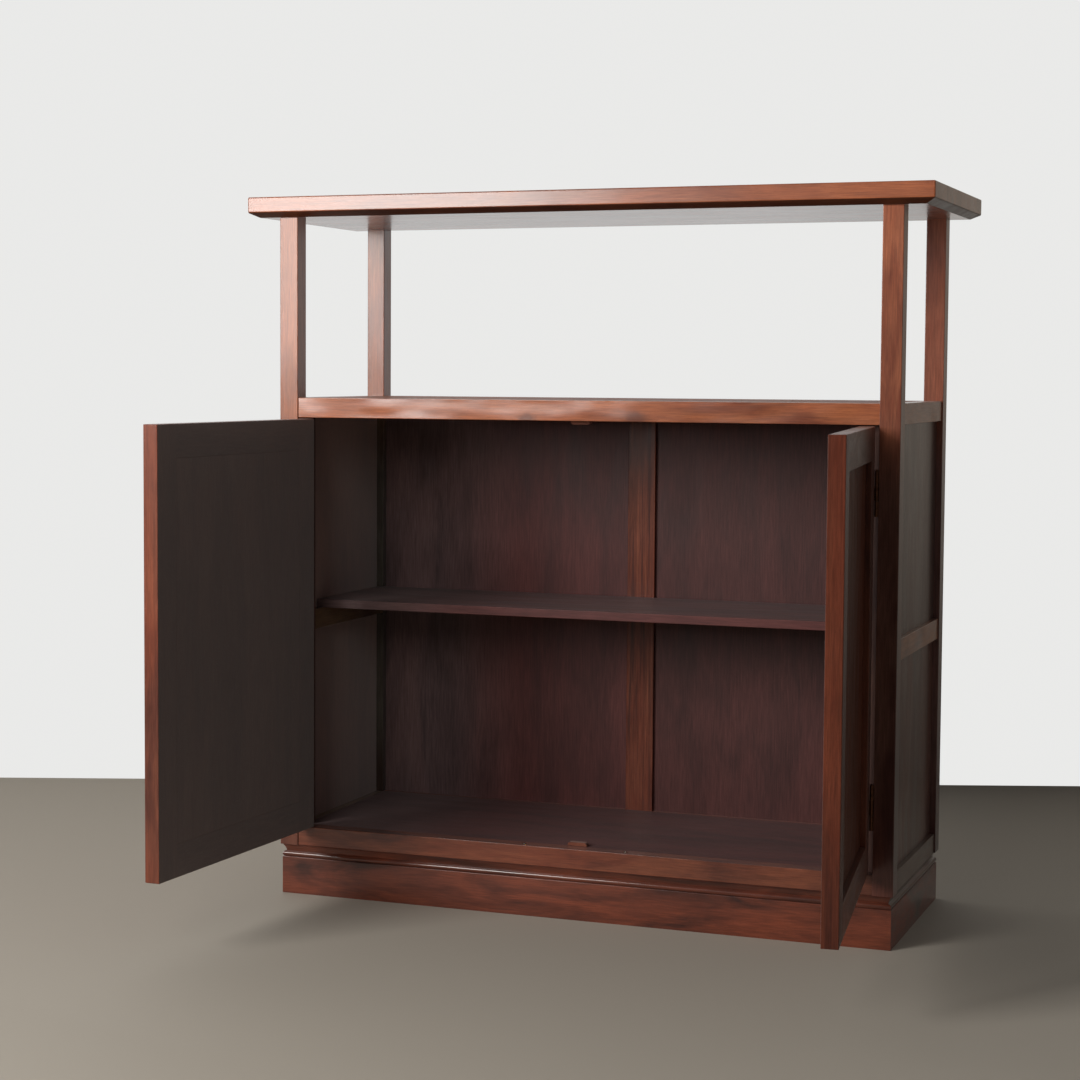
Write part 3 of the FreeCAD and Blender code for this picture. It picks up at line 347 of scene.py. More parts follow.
# colour factors of single boards: in part each board's own tone, in part painted shade (factors under one) and
# painted grey haze of light (factors that raise green and blue)
TINTS = {
    "left_door_free_stile": (1.15, 1.22, 1.32),
    "right_door_free_stile": (0.72, 0.66, 0.66),
    "right_door_hinge_stile": (0.95, 1.05, 1.15),
    "right_door_top_rail": (0.65, 0.65, 0.65),
    "post_front_right": (1.0, 1.05, 1.3),
    "post_rear_left": (0.85, 0.85, 0.9),
    "post_rear_right": (0.82, 0.9, 1.35),
    "back_panel_right": (0.78, 0.85, 0.85),
    "door_strips": (1.1, 2.4, 3.8),
    "plinth_right": (1.3, 0.95, 0.85),
    "plinth_front": (0.93, 0.92, 0.92),
    "low_rail_right": (0.32, 0.45, 0.6),
    "mid_rail_right": (1.1, 1.4, 1.6),
    "deck_rail_right": (1.0, 1.15, 1.35),
    "side_panel_lower_right": (1.3, 1.2, 1.1),
}


def figure(tree, grain, name):
    """One of the noises."""
    return noise(tree, grain, *FIGURE[name])


def level(tree, value, name):
    """A noise brought to its own levels."""
    return remap(tree, value, *LEVELS[name])


def ring_bands(tree, grain):
    """Year rings round a pith that sways."""
    sway = times(tree, figure(tree, grain, "sway"), RING_SWAY)
    moved = vector_maths(tree, "ADD", grain, xyz(tree, {1: sway, 2: sway}))
    centred = vector_maths(tree, "ADD", moved, RING_PITH)
    wave = {"Vector": vector_maths(tree, "MULTIPLY", centred, RING_STRETCH), "Scale": RINGS_A_METRE,
            "Distortion": 1.4, "Detail": 2.0, "Detail Scale": 1.2}
    return put(tree, "ShaderNodeTexWave", wave, wave_type="RINGS", rings_direction="X").outputs[0]


def wood_figure(tree, grain, tones, mottle, streak, rings):
    """Colour of stained wood, and the shares of fibre, pores and mottle in it."""
    light, middle, dark = (solid(tone) for tone in tones)
    base = blend(tree, level(tree, figure(tree, grain, "broad"), "broad"), dark, middle)
    patch = figure(tree, grain, "patch")
    ribbon = figure(tree, grain, "ribbon")
    for source, name, cover, tone in (
            (patch, "cloud", mottle, light), (patch, "shade", mottle, dark),
            (ring_bands(tree, grain), "bands", rings, dark),
            (ribbon, "ribbon_dark", streak, dark), (ribbon, "ribbon_light", streak, light)):
        base = blend(tree, times(tree, level(tree, source, name), cover), base, tone)
    fibre = figure(tree, grain, "fibre")
    for source, name in ((figure(tree, grain, "line"), "line"), (fibre, "fibre")):
        base = multiplied(tree, base, grey(tree, level(tree, source, name)))
    pores = level(tree, figure(tree, grain, "pores"), "pores")
    base = blend(tree, times(tree, pores, PORE_DARK), base, dark)
    return base, fibre, pores, level(tree, patch, "cloud")


def add_knots(tree, base, dark):
    """Dark smudges round small knots, at places in the cabinet's frame."""
    place = object_place(tree)
    rough = figure(tree, place, "knot")
    for centre, reach in KNOTS:
        away = vector_maths(tree, "SUBTRACT", place, centre)
        flat = vector_maths(tree, "MULTIPLY", away, KNOT_STRETCH)
        far = put(tree, "ShaderNodeVectorMath", {0: flat}, operation="LENGTH").outputs["Value"]
        ragged = maths(tree, "ADD", far, times(tree, rough, reach * KNOT_RAGGED))
        near = remap(tree, ragged, *(reach * edge for edge in KNOT_EDGE))
        base = blend(tree, times(tree, near, KNOT_COVER), base, dark)
    return base


def painted_light_by(tree, factor, base, stain):
    """A colour multiplied, to a share, by a factor of painted light and shade."""
    return blend(tree, factor, base, multiplied(tree, base, solid(stain)))


def shade_inside(tree, base):
    """Painted shade: the wood is made darker and duller inside the cupboard."""
    half_wide, front, back, top = INSIDE
    x, y, z = split(tree, object_place(tree))
    across = maths(tree, "LESS_THAN", maths(tree, "ABSOLUTE", x), half_wide)
    behind = maths(tree, "GREATER_THAN", y, front)
    before = maths(tree, "LESS_THAN", y, back)
    under = maths(tree, "LESS_THAN", z, top)
    within = times(tree, times(tree, across, behind), times(tree, before, under))
    return painted_light_by(tree, within, base, INSIDE_SHADE_TINT)


def shade_sheltered(tree, base):
    """Painted shade: the wood is darker low on the posts, below the deck, and darkest at the foot."""
    height = split(tree, object_place(tree))[2]
    for heights, stain in ((BELOW_DECK_SHADE, BELOW_DECK_SHADE_TINT), (FOOT_SHADE, FOOT_SHADE_TINT)):
        base = painted_light_by(tree, remap(tree, height, *heights), base, stain)
    return base


def shade_dusty(tree, base):
    """Painted grey haze of light: the wood is lighter and greyer towards the left end of the cupboard."""
    leftwards = times(tree, split(tree, object_place(tree))[0], -1.0)
    return painted_light_by(tree, remap(tree, leftwards, *GREY_HAZE_LEFT), base, GREY_HAZE_TINT)


def tones_of(kind, calm):
    """Light, middle and dark colour of one kind of wood; calm wood has a weaker dark."""
    care = bpy.context.scene.cabinet_wood
    names = ["%s_%s" % (kind, step) for step in ("light", "mid", "dark")]
    light, middle, dark = (tuple(getattr(care, name)) for name in names)
    if calm:
        dark = tuple((one + other) / 2 for one, other in zip(middle, dark))
    return light, middle, dark


def wood(name, kind, mottle, streak, rings, wavy=1.0, lacquer=None, rough=None, coat_rough=None,
         coat_ior=1.5, mirror=0.12, haze=0.05, stain=None, tinted=True, calm=False, knotty=False,
         inside=False, sheltered=False, dusty=False):
    """Stained and lacquered wood that follows each piece's own grain."""
    care = bpy.context.scene.cabinet_wood
    lacquer = care.lacquer if lacquer is None else lacquer
    rough = care.wood_rough if rough is None else rough
    coat_rough = care.lacquer_rough if coat_rough is None else coat_rough
    tones = tones_of(kind, calm)
    material, tree, output = new_material(name)
    grain = attribute(tree, "grain", "Vector")
    base, fibre, pores, cloud = wood_figure(tree, grain, tones, mottle, streak, rings)
    if knotty:
        base = add_knots(tree, base, solid(part * KNOT_DARK for part in tones[2]))
    worn = level(tree, figure(tree, grain, "rub"), "rub")
    rubbed = solid(min(1.0, part * RUB_LIGHT) for part in tones[0])
    base = blend(tree, times(tree, attribute(tree, "arris", "Fac"), worn), base, rubbed)
    # painted shade inside the cupboard and low on the posts, and painted grey haze of light to the left
    if inside:
        base = shade_inside(tree, base)
    if sheltered:
        base = shade_sheltered(tree, base)
    if dusty:
        base = shade_dusty(tree, base)
    # the stain factor: a real stain on some finishes, painted shade or painted light on others
    if stain:
        base = multiplied(tree, base, solid(stain))
    if tinted:
        base = multiplied(tree, base, attribute(tree, "tint", "Vector"))
    scratch = level(tree, figure(tree, grain, "scratch"), "scratch")
    scuff = times(tree, scratch, level(tree, figure(tree, grain, "rare"), "rare"))
    base = blend(tree, times(tree, scuff, SCUFF_COVER), base, rubbed)
    dull = maths(tree, "ADD", times(tree, pores, PORE_DULL), times(tree, scuff, SCUFF_DULL))
    clouded = remap(tree, cloud, 0.0, 1.0, rough - DULL_SWING, rough + DULL_SWING)
    dull = maths(tree, "ADD", dull, clouded)
    swell = figure(tree, grain, "swell")
    soft = put(tree, "ShaderNodeBump", {"Strength": 1.0, "Distance": SWELL_HIGH * wavy,
                                        "Height": swell})
    relief = maths(tree, "SUBTRACT", times(tree, fibre, FIBRE_RELIEF), pores)
    fine = put(tree, "ShaderNodeBump", {"Strength": 0.5, "Distance": RELIEF_HIGH, "Height": relief,
                                        "Normal": soft.outputs[0]})
    surface(tree, output, "ShaderNodeBsdfPrincipled", {
        "Base Color": base, "Roughness": dull, "IOR": 1.5, "Specular IOR Level": mirror,
        "Coat Weight": lacquer, "Coat Roughness": coat_rough, "Coat IOR": coat_ior,
        "Sheen Weight": haze, "Sheen Roughness": 0.5,
        "Normal": fine.outputs[0], "Coat Normal": soft.outputs[0]})
    return material


def finish(name, kind, **facts):
    """A wood material of one kind, made once."""
    return bpy.data.materials.get(name) or wood(name, kind, **facts)


def frame_finish():
    """Posts, with painted shade below the deck and at the foot."""
    return finish("lacquered_frame", "frame", mottle=0.45, streak=0.15, rings=0.08, wavy=0.6,
                  haze=0.12, inside=True, sheltered=True)


def rail_finish():
    """Rails round the deck and all the side rails, with two small knots in the front one, and painted shade inside
    the cupboard.
    """
    return finish("lacquered_rail", "frame", mottle=0.5, streak=0.15, rings=0.05, wavy=4.0,
                  haze=0.08, coat_ior=1.55, knotty=True, inside=True)


def low_rail_finish():
    """Rails in front of and behind the cupboard floor."""
    return finish("lacquered_low_rail", "door", mottle=0.6, streak=0.1, rings=0.03)


def top_finish():
    """Top, under full lacquer."""
    return finish("lacquered_top", "frame", mottle=0.3, streak=0.2, rings=0.1, wavy=0.5,
                  lacquer=1.0, haze=0.03, coat_ior=1.56)


def chamfer_shade_finish():
    """Chamfer under the top, much darker: painted shade."""
    return finish("lacquered_chamfer", "frame", mottle=0.3, streak=0.2, rings=0.1, wavy=0.5,
                  lacquer=0.2, haze=0.0, stain=(0.22, 0.24, 0.32), tinted=False)


def deck_finish():
    """Bar deck, rubbed dull."""
    return finish("lacquered_deck", "frame", mottle=0.4, streak=0.15, rings=0.08, wavy=0.5,
                  lacquer=0.1, rough=0.6)


def stop_finish():
    """Door stops, almost without lacquer."""
    return finish("lacquered_stop", "frame", mottle=0.4, streak=0.15, rings=0.05, lacquer=0.1,
                  rough=0.55, coat_rough=0.5, haze=0.15, stain=(0.7, 0.8, 1.2))


def panel_finish():
    """Side panels, outside."""
    return finish("lacquered_panel", "panel", mottle=0.3, streak=0.35, rings=0.1, wavy=0.4)


def side_lining_finish():
    """Side panels, inside: lightened and greyed by the stain factor as painted light."""
    return finish("lacquered_side_inside", "lining", mottle=0.2, streak=0.15, rings=0.0, wavy=0.3,
                  lacquer=0.5, rough=0.5, coat_rough=0.4, haze=0.75, stain=(2.8, 2.6, 2.6))


def inner_finish():
    """Back panels, shelf and floor of the cupboard, with painted grey haze of light towards the left."""
    return finish("lacquered_inside", "inner", mottle=0.3, streak=0.15, rings=0.05, wavy=0.3,
                  lacquer=0.3, rough=0.5, coat_rough=0.45, dusty=True)


def stile_finish():
    """Stile in the middle of the back, with strong streaks."""
    return finish("lacquered_stile", "door", mottle=0.5, streak=0.9, rings=0.2, lacquer=0.25,
                  stain=(0.85, 0.85, 0.95))


def door_finish():
    """Stiles and rails of the doors, outside."""
    return finish("lacquered_door", "door", mottle=0.35, streak=0.25, rings=0.05, wavy=0.6,
                  lacquer=0.25)


def door_panel_finish():
    """Panels of the doors, outside: calm and almost matt."""
    return finish("lacquered_door_panel", "door", mottle=0.22, streak=0.3, rings=0.1, wavy=0.6,
                  lacquer=0.0, haze=0.0, mirror=0.05, stain=(0.8, 0.95, 1.1), calm=True)


def lining_finish():
    """Inner faces of the doors: their own tone, greyed in part as painted haze of light."""
    return finish("lacquered_door_inside", "lining", mottle=0.2, streak=0.15, rings=0.0, wavy=0.3,
                  lacquer=0.3, rough=0.5, coat_rough=0.4, haze=0.45, tinted=False)


def strip_finish():
    """Strips behind the hinges, stained but bare of lacquer."""
    return finish("stained_strip", "base", mottle=0.2, streak=0.2, rings=0.0, lacquer=0.0, rough=0.6)


def plinth_finish():
    """Plinth, blotchy."""
    return finish("lacquered_plinth", "base", mottle=0.95, streak=0.04, rings=0.0, wavy=0.8)


def moulding_finish():
    """Moulding over the plinth, under full lacquer with a sharp shine."""
    return finish("lacquered_moulding", "base", mottle=0.6, streak=0.04, rings=0.0, wavy=0.4,
                  lacquer=1.0, coat_rough=0.12)


def bare_finish():
    """Brace and glue blocks, left bare."""
    return finish("bare_wood", "bare", mottle=0.2, streak=0.2, rings=0.5, lacquer=0.0, rough=0.7)


# ---------------------------------------------------------------- metal
TARNISH_COVER = 0.7
ROUGH_LEVELS = (0.3, 0.7)
ROUGH_SWING = 0.2
BRUSH_HIGH = 0.03 * MM


def metal(name, clean, stained, rough):
    """Metal with patches of tarnish, made once: two named colours and the least roughness."""
    found = bpy.data.materials.get(name)
    if found:
        return found
    care = bpy.context.scene.cabinet_brass
    material, tree, output = new_material(name)
    place = object_place(tree)
    stain = figure(tree, place, "tarnish")
    tarnish = times(tree, level(tree, stain, "tarnish"), TARNISH_COVER)
    base = blend(tree, tarnish, solid(getattr(care, clean)), solid(getattr(care, stained)))
    bump = put(tree, "ShaderNodeBump", {"Strength": 0.4, "Distance": BRUSH_HIGH,
                                        "Height": figure(tree, place, "brushed")})
    surface(tree, output, "ShaderNodeBsdfPrincipled", {
        "Base Color": base, "Metallic": 1.0, "Normal": bump.outputs[0],
        "Roughness": remap(tree, stain, *ROUGH_LEVELS, rough, rough + ROUGH_SWING)})
    return material


def brass():
    """Brass of the catch housings and strike plates."""
    return metal("polished_brass", "bright", "dull", 0.2)


def ball_metal():
    """Hard bright metal of the catch balls."""
    return metal("polished_ball", "ball", "bright", 0.14)


def dark_brass():
    """Brass of the hinges, their pins and screws, darkened as painted shade."""
    return metal("darkened_brass", "shaded_brass", "shaded_brass_deep", 0.35)


# ---------------------------------------------------------------- boards and brass from the solids
FLAT_WITHIN = math.radians(0.5)
EDGE_OVER = math.radians(40)
ALONG_GRAIN = 0.99
# the upward part of a normal lies between these on the chamfer under the top
CHAMFER_TILT = (-0.95, -0.3)
# how many steps a log has along each axis, and how long they are
LOG_STEPS = ((97, 0.31), (89, 0.17), (83, 0.23))


def in_scene(name, data):
    """A new object in the scene."""
    item = bpy.data.objects.new(name, data)
    bpy.context.scene.collection.objects.link(item)
    return item


def mesh_of(bm, name):
    """A new mesh from a shape, which is then let go."""
    mesh = bpy.data.meshes.new(name)
    bm.to_mesh(mesh)
    bm.free()
    return mesh


def evaluated(holder, name):
    """The plain mesh that an object's modifiers make; the object goes."""
    depsgraph = bpy.context.evaluated_depsgraph_get()
    made = bpy.data.meshes.new_from_object(holder.evaluated_get(depsgraph))
    bpy.data.objects.remove(holder)
    made.name = name
    return made


def smooth(mesh, sharp=None):
    """Shade a mesh as round; edges over an angle in degrees stay sharp."""
    for face in mesh.polygons:
        face.use_smooth = True
    if sharp:
        mesh.set_sharp_from_angle(angle=math.radians(sharp))


def to_closed(node):
    """Matrix that turns a door piece back to its closed place; nothing for the rest."""
    joint = JOINTS.get(BODY_OF[node])
    if joint is None or joint["type"] != "hinge":
        return Matrix.Identity(4)
    pivot = Matrix.Translation(Vector(joint["pos_m"]))
    turn = Matrix.Rotation(math.radians(joint["range_deg"][0]), 4, Vector(joint["axis"]))
    return pivot @ turn @ pivot.inverted()


def merged(node):
    """The node's shape as one closed mesh with whole flat faces."""
    bm = bmesh.new()
    bm.from_mesh(NODES[node].data)
    bmesh.ops.remove_doubles(bm, verts=bm.verts, dist=MERGE)
    bmesh.ops.dissolve_limit(bm, angle_limit=FLAT_WITHIN, verts=bm.verts, edges=bm.edges)
    return bm


def box_of(points):
    """Lowest and highest corner of some points."""
    low = Vector(min(p[k] for p in points) for k in range(3))
    high = Vector(max(p[k] for p in points) for k in range(3))
    return low, high


def sides_touched(point, low, high):
    """The faces of the box that a point lies on."""
    return {(k, end) for k in range(3) for end, corner in enumerate((low, high))
            if abs(point[k] - corner[k]) < NEAR}


def outer_edges(bm, back, axis, ends, faces_needed, whole=None):
    """Edges along the outside of a piece; those across the grain only where its ends are free.

    With the box of a whole door, joints that lie flush in the door's inner face stay sharp.
    """
    places = {vert: back @ vert.co for vert in bm.verts}
    low, high = box_of(list(places.values()))
    chosen = []
    for edge in bm.edges:
        if not edge.is_manifold or not edge.is_convex or edge.calc_face_angle() < EDGE_OVER:
            continue
        one, other = (places[vert] for vert in edge.verts)
        shared = sides_touched(one, low, high) & sides_touched(other, low, high)
        along = abs((other - one).normalized()[axis]) > ALONG_GRAIN
        if whole:
            outline = sides_touched(one, *whole) & sides_touched(other, *whole)
            if (1, 1) in outline and len(outline) < 2:
                continue
        if len(shared) >= faces_needed and (along or ends):
            chosen.append(edge)
    return chosen


def shift_of(name):
    """A steady place in the log for each piece, so that no two boards share their figure."""
    number = sum(rank * ord(letter) for rank, letter in enumerate(name, 1))
    return Vector([number % steps * step for steps, step in LOG_STEPS])


def mark_grain(bm, back, axis, name):
    """Store each corner's place in the board, first along the grain."""
    layer = bm.verts.layers.float_vector.new("grain")
    order = (axis, (axis + 1) % 3, (axis + 2) % 3)
    shift = shift_of(name)
    for vert in bm.verts:
        place = back @ vert.co
        vert[layer] = Vector(place[k] for k in order) + shift


def add_piece(name, mesh, material, nodes, lining=None, lined=()):
    """Put a finished mesh in the scene in place of its nodes; the lined faces take the lining."""
    piece = in_scene(name, mesh)
    tint = mesh.attributes.new("tint", "FLOAT_VECTOR", "POINT")
    tint.data.foreach_set("vector", TINTS.get(nodes[0], (1.0, 1.0, 1.0)) * len(mesh.vertices))
    mesh.materials.clear()
    mesh.materials.append(material)
    if lining:
        mesh.materials.append(lining)
    for number in lined:
        mesh.polygons[number].material_index = 1
    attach(piece, BODY_OF[nodes[0]])
    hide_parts(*nodes)


def dress_board(node, grain, material, arris, ends=False, faces_needed=2, whole=None, lining=None,
                inwards=lambda normal: normal.y > FACING):
    """A board with its own grain and softened edges; faces that the inwards test picks take the lining, which on
    the top is the chamfer's painted shade.
    """
    axis = AXES[grain]
    back = to_closed(node)
    bm = merged(node)
    edges = outer_edges(bm, back, axis, ends, faces_needed, whole)
    rounded = bmesh.ops.bevel(bm, geom=edges, offset=arris, offset_type="OFFSET", segments=3,
                              profile=0.5, affect="EDGES", clamp_overlap=False)
    worn = bm.faces.layers.float.new("arris")
    for face in bm.faces:
        face.smooth = False
    for face in rounded["faces"]:
        if face.is_valid:
            face.smooth = True
            face[worn] = 1.0
    bm.normal_update()
    bm.faces.index_update()
    turn = back.to_3x3()
    lined = [face.index for face in bm.faces if inwards(turn @ face.normal)] if lining else []
    mark_grain(bm, back, axis, node)
    add_piece(node + "_board", mesh_of(bm, node + "_board"), material, [node], lining, lined)


def is_chamfer(normal):
    """Tells the chamfer of the top by its tilt."""
    return CHAMFER_TILT[0] < normal.z < CHAMFER_TILT[1]


def dress_metal(node, material, soften):
    """A brass piece with smooth rounds and slightly broken edges."""
    rough = in_scene(node + "_rough", mesh_of(merged(node), node + "_rough"))
    bevel = rough.modifiers.new("soften", "BEVEL")
    bevel.width = soften
    bevel.segments = 2
    bevel.limit_method = "ANGLE"
    bevel.angle_limit = math.radians(50)
    made = evaluated(rough, node + "_brass")
    smooth(made, sharp=30)
    add_piece(node + "_brass", made, material, [node])


# ---------------------------------------------------------------- repeated and mitred pieces
def new_tree(name, sockets):
    """A geometry tree with named inputs; returns the tree, its input node and its output node."""
    tree = bpy.data.node_groups.new(name, "GeometryNodeTree")
    tree.interface.new_socket("Geometry", in_out="INPUT", socket_type="NodeSocketGeometry")
    for label, kind in sockets:
        tree.interface.new_socket(label, in_out="INPUT", socket_type="NodeSocket" + kind)
    tree.interface.new_socket("Geometry", in_out="OUTPUT", socket_type="NodeSocketGeometry")
    return tree, put(tree, "NodeGroupInput"), put(tree, "NodeGroupOutput")


def run_tree(base_mesh, tree, values, name):
    """Run a geometry tree on a mesh with the given inputs; the result is a plain mesh."""
    holder = in_scene(name + "_holder", base_mesh)
    modifier = holder.modifiers.new(name, "NODES")
    modifier.node_group = tree
    for item in tree.interface.items_tree:
        if item.item_type == "SOCKET" and item.in_out == "INPUT" and item.name in values:
            modifier[item.identifier] = values[item.name]
    return evaluated(holder, name)


def finish_tree(tree, geometry, material, output):
    """Close a tree with real geometry and its material."""
    real = put(tree, "GeometryNodeRealizeInstances", {"Geometry": geometry})
    painted = put(tree, "GeometryNodeSetMaterial", {"Geometry": real.outputs[0],
                                                    "Material": material})
    tree.links.new(painted.outputs[0], output.inputs[0])


def mitre_tree():
    """Drives a flat section along X, cuts its ends at 45 degrees and sets it in its place."""
    found = bpy.data.node_groups.get("mitred_length")
    if found:
        return found
    tree, source, output = new_tree("mitred_length", (
        ("Length", "Float"), ("Corner", "Vector"), ("Turn", "Float"), ("Grain shift", "Vector"),
        ("Material", "Material")))
    get = source.outputs
    run = get["Length"]
    pushed = put(tree, "GeometryNodeExtrudeMesh", {
        "Mesh": get["Geometry"], "Offset": xyz(tree, {0: run}), "Individual": False}, mode="FACES")
    foot = put(tree, "GeometryNodeFlipFaces", {"Mesh": get["Geometry"]})
    joined = put(tree, "GeometryNodeJoinGeometry")
    tree.links.new(pushed.outputs[0], joined.inputs[0])
    tree.links.new(foot.outputs[0], joined.inputs[0])
    closed = put(tree, "GeometryNodeMergeByDistance", {"Geometry": joined.outputs[0],
                                                       "Distance": MERGE})
    place = put(tree, "GeometryNodeInputPosition").outputs[0]
    x, y, _ = split(tree, place)
    at_end = maths(tree, "GREATER_THAN", x, times(tree, run, 0.5))
    sign = maths(tree, "SUBTRACT", 1.0, times(tree, at_end, 2.0))
    cut = put(tree, "GeometryNodeSetPosition", {"Geometry": closed.outputs[0],
                                                "Offset": xyz(tree, {0: times(tree, sign, y)})})
    grain = vector_maths(tree, "ADD", place, get["Grain shift"])
    marked = put(tree, "GeometryNodeStoreNamedAttribute", {
        "Geometry": cut.outputs[0], "Name": "grain", "Value": grain}, data_type="FLOAT_VECTOR")
    placed = put(tree, "GeometryNodeTransform", {
        "Geometry": marked.outputs[0], "Rotation": xyz(tree, {2: get["Turn"]}),
        "Translation": get["Corner"]})
    finish_tree(tree, placed.outputs[0], get["Material"], output)
    return tree


def section_mesh(name, points):
    """A flat face across X from points in Y and Z."""
    mesh = bpy.data.meshes.new(name)
    mesh.from_pydata([(0.0, y, z) for y, z in points], [], [tuple(range(len(points)))])
    return mesh


def arc(centre, radius, start, end, steps):
    """Points on an arc, ends included; angles in degrees."""
    out = []
    for step in range(steps + 1):
        angle = math.radians(start + (end - start) * step / steps)
        out.append((centre[0] + radius * math.cos(angle), centre[1] + radius * math.sin(angle)))
    return out


def hollow(start, end, sag, steps):
    """Points on a hollow curve from one point up to another; sag is its depth."""
    one, other = Vector(start), Vector(end)
    chord = other - one
    radius = chord.length_squared / (8 * sag) + sag / 2
    out = Vector((-chord.y, chord.x)).normalized()
    centre = (one + other) / 2 + out * (radius - sag)
    first = math.degrees(math.atan2(one.y - centre.y, one.x - centre.x))
    last = math.degrees(math.atan2(other.y - centre.y, other.x - centre.x))
    return arc(tuple(centre), radius, first, last, steps)


def mitred_piece(node, points, material, number):
    """One of four mitred lengths, number 0 to 3 from the front round to the left."""
    low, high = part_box(node)
    starts = ((low.x, low.y), (high.x, low.y), (high.x, high.y), (low.x, high.y))
    values = {"Length": (high - low)[number % 2], "Corner": starts[number] + (low.z,),
              "Turn": math.radians(90.0 * number), "Grain shift": tuple(shift_of(node)),
              "Material": material}
    section = section_mesh(node + "_section", points)
    mesh = run_tree(section, mitre_tree(), values, node + "_length")
    bm = bmesh.new()
    bm.from_mesh(mesh)
    bmesh.ops.recalc_face_normals(bm, faces=bm.faces)
    bm.to_mesh(mesh)
    bm.free()
    smooth(mesh, sharp=24)
    add_piece(node + "_length", mesh, material, [node])


SCREW_SIZES = ("Head Diameter", "Head Height", "Shank Diameter", "Shank Length")
HEAD_SIDES = 32
SHANK_SIDES = 20
SLOT_OVER = 1.2  # length of the tool that cuts the slot, in head diameters


def screw_tree():
    """Slotted screws on points; each point carries the turn that aims its screw."""
    found = bpy.data.node_groups.get("slotted_screws")
    if found:
        return found
    lengths = SCREW_SIZES + ("Slot Width", "Slot Depth")
    tree, source, output = new_tree("slotted_screws", tuple((name, "Float") for name in lengths) + (
        ("Seed", "Int"), ("Material", "Material")))
    get = source.outputs
    half = {name: times(tree, get[name], 0.5) for name in SCREW_SIZES}
    head = put(tree, "GeometryNodeMeshCylinder", {
        "Vertices": HEAD_SIDES, "Radius": half["Head Diameter"], "Depth": get["Head Height"]})
    head_at = put(tree, "GeometryNodeTransform", {
        "Geometry": head.outputs[0],
        "Translation": xyz(tree, {2: times(tree, half["Head Height"], -1.0)})})
    bar = xyz(tree, {0: times(tree, get["Head Diameter"], SLOT_OVER), 1: get["Slot Width"],
                     2: times(tree, get["Slot Depth"], 2.0)})
    cutter = put(tree, "GeometryNodeMeshCube", {"Size": bar})
    slotted = put(tree, "GeometryNodeMeshBoolean", {"Mesh 1": head_at.outputs[0]},
                  operation="DIFFERENCE")
    tree.links.new(cutter.outputs[0], slotted.inputs["Mesh 2"])
    shank = put(tree, "GeometryNodeMeshCylinder", {
        "Vertices": SHANK_SIDES, "Radius": half["Shank Diameter"], "Depth": get["Shank Length"]})
    drop = times(tree, maths(tree, "ADD", get["Head Height"], half["Shank Length"]), -1.0)
    shank_at = put(tree, "GeometryNodeTransform", {"Geometry": shank.outputs[0],
                                                   "Translation": xyz(tree, {2: drop})})
    screw = put(tree, "GeometryNodeJoinGeometry")
    tree.links.new(slotted.outputs[0], screw.inputs[0])
    tree.links.new(shank_at.outputs[0], screw.inputs[0])
    aim = put(tree, "GeometryNodeInputNamedAttribute", {"Name": "aim"},
              data_type="FLOAT_VECTOR").outputs[0]
    spin = put(tree, "FunctionNodeRandomValue", {"Min": 0.0, "Max": math.pi, "Seed": get["Seed"]})
    spin_out = [out for out in spin.outputs if out.enabled][0]
    placed = put(tree, "GeometryNodeInstanceOnPoints", {
        "Points": get["Geometry"], "Rotation": aim, "Instance": screw.outputs[0]})
    turned = put(tree, "GeometryNodeRotateInstances", {
        "Instances": placed.outputs[0], "Rotation": xyz(tree, {2: spin_out}), "Local Space": True})
    finish_tree(tree, turned.outputs[0], get["Material"], output)
    return tree


def islands(bm):
    """The separate solids of a mesh, as lists of their corners."""
    left = set(bm.verts)
    groups = []
    for first in bm.verts:
        if first not in left:
            continue
        left.remove(first)
        group, front = [first], [first]
        while front:
            here = front.pop()
            near = [edge.other_vert(here) for edge in here.link_edges]
            fresh = [vert for vert in near if vert in left]
            left.difference_update(fresh)
            group += fresh
            front += fresh
        groups.append(group)
    return groups


def widths(points, at_x):
    """Widest span in Z of the points whose X is near a value."""
    heights = [p.z for p in points if abs(p.x - at_x) < NEAR]
    return max(heights) - min(heights)


def screw_piece(node, seed):
    """All the screws of a node, made again with slotted heads."""
    care = bpy.context.scene.cabinet_brass
    back = to_closed(node)
    bm = merged(node)
    spots, aims = [], []
    facts = None
    for group in islands(bm):
        points = [back @ vert.co for vert in group]
        low, high = box_of(points)
        faces_right = widths(points, high.x) > widths(points, low.x)
        at_x, tip_x = (high.x, low.x) if faces_right else (low.x, high.x)
        rim = [p.x for p in points if abs(p.x - at_x) > NEAR and abs(p.x - tip_x) > NEAR]
        head_high = min(abs(at_x - x) for x in rim)
        facts = (widths(points, at_x), head_high, widths(points, tip_x), high.x - low.x - head_high)
        spots.append(back.inverted() @ Vector((at_x, (low.y + high.y) / 2, (low.z + high.z) / 2)))
        out = back.inverted().to_3x3() @ Vector((1.0 if faces_right else -1.0, 0.0, 0.0))
        aims.append(out.to_track_quat("Z", "Y").to_euler())
    bm.free()
    mesh = bpy.data.meshes.new(node + "_spots")
    mesh.from_pydata(spots, [], [])
    layer = mesh.attributes.new("aim", "FLOAT_VECTOR", "POINT")
    for number, aim in enumerate(aims):
        layer.data[number].vector = tuple(aim)
    material = dark_brass()
    values = dict(zip(SCREW_SIZES, facts))
    values.update({"Slot Width": care.slot_wide, "Slot Depth": care.slot_deep, "Seed": seed,
                   "Material": material})
    made = run_tree(mesh, screw_tree(), values, node + "_slotted")
    smooth(made, sharp=35)
    add_piece(node + "_slotted", made, material, [node])


# ---------------------------------------------------------------- operators
TOP_SOFTER = 2  # how many times rounder the edges of the top are than those of other boards
PLINTH_THICK = 20.0 * MM
MOULD_DEEP = 34.0 * MM
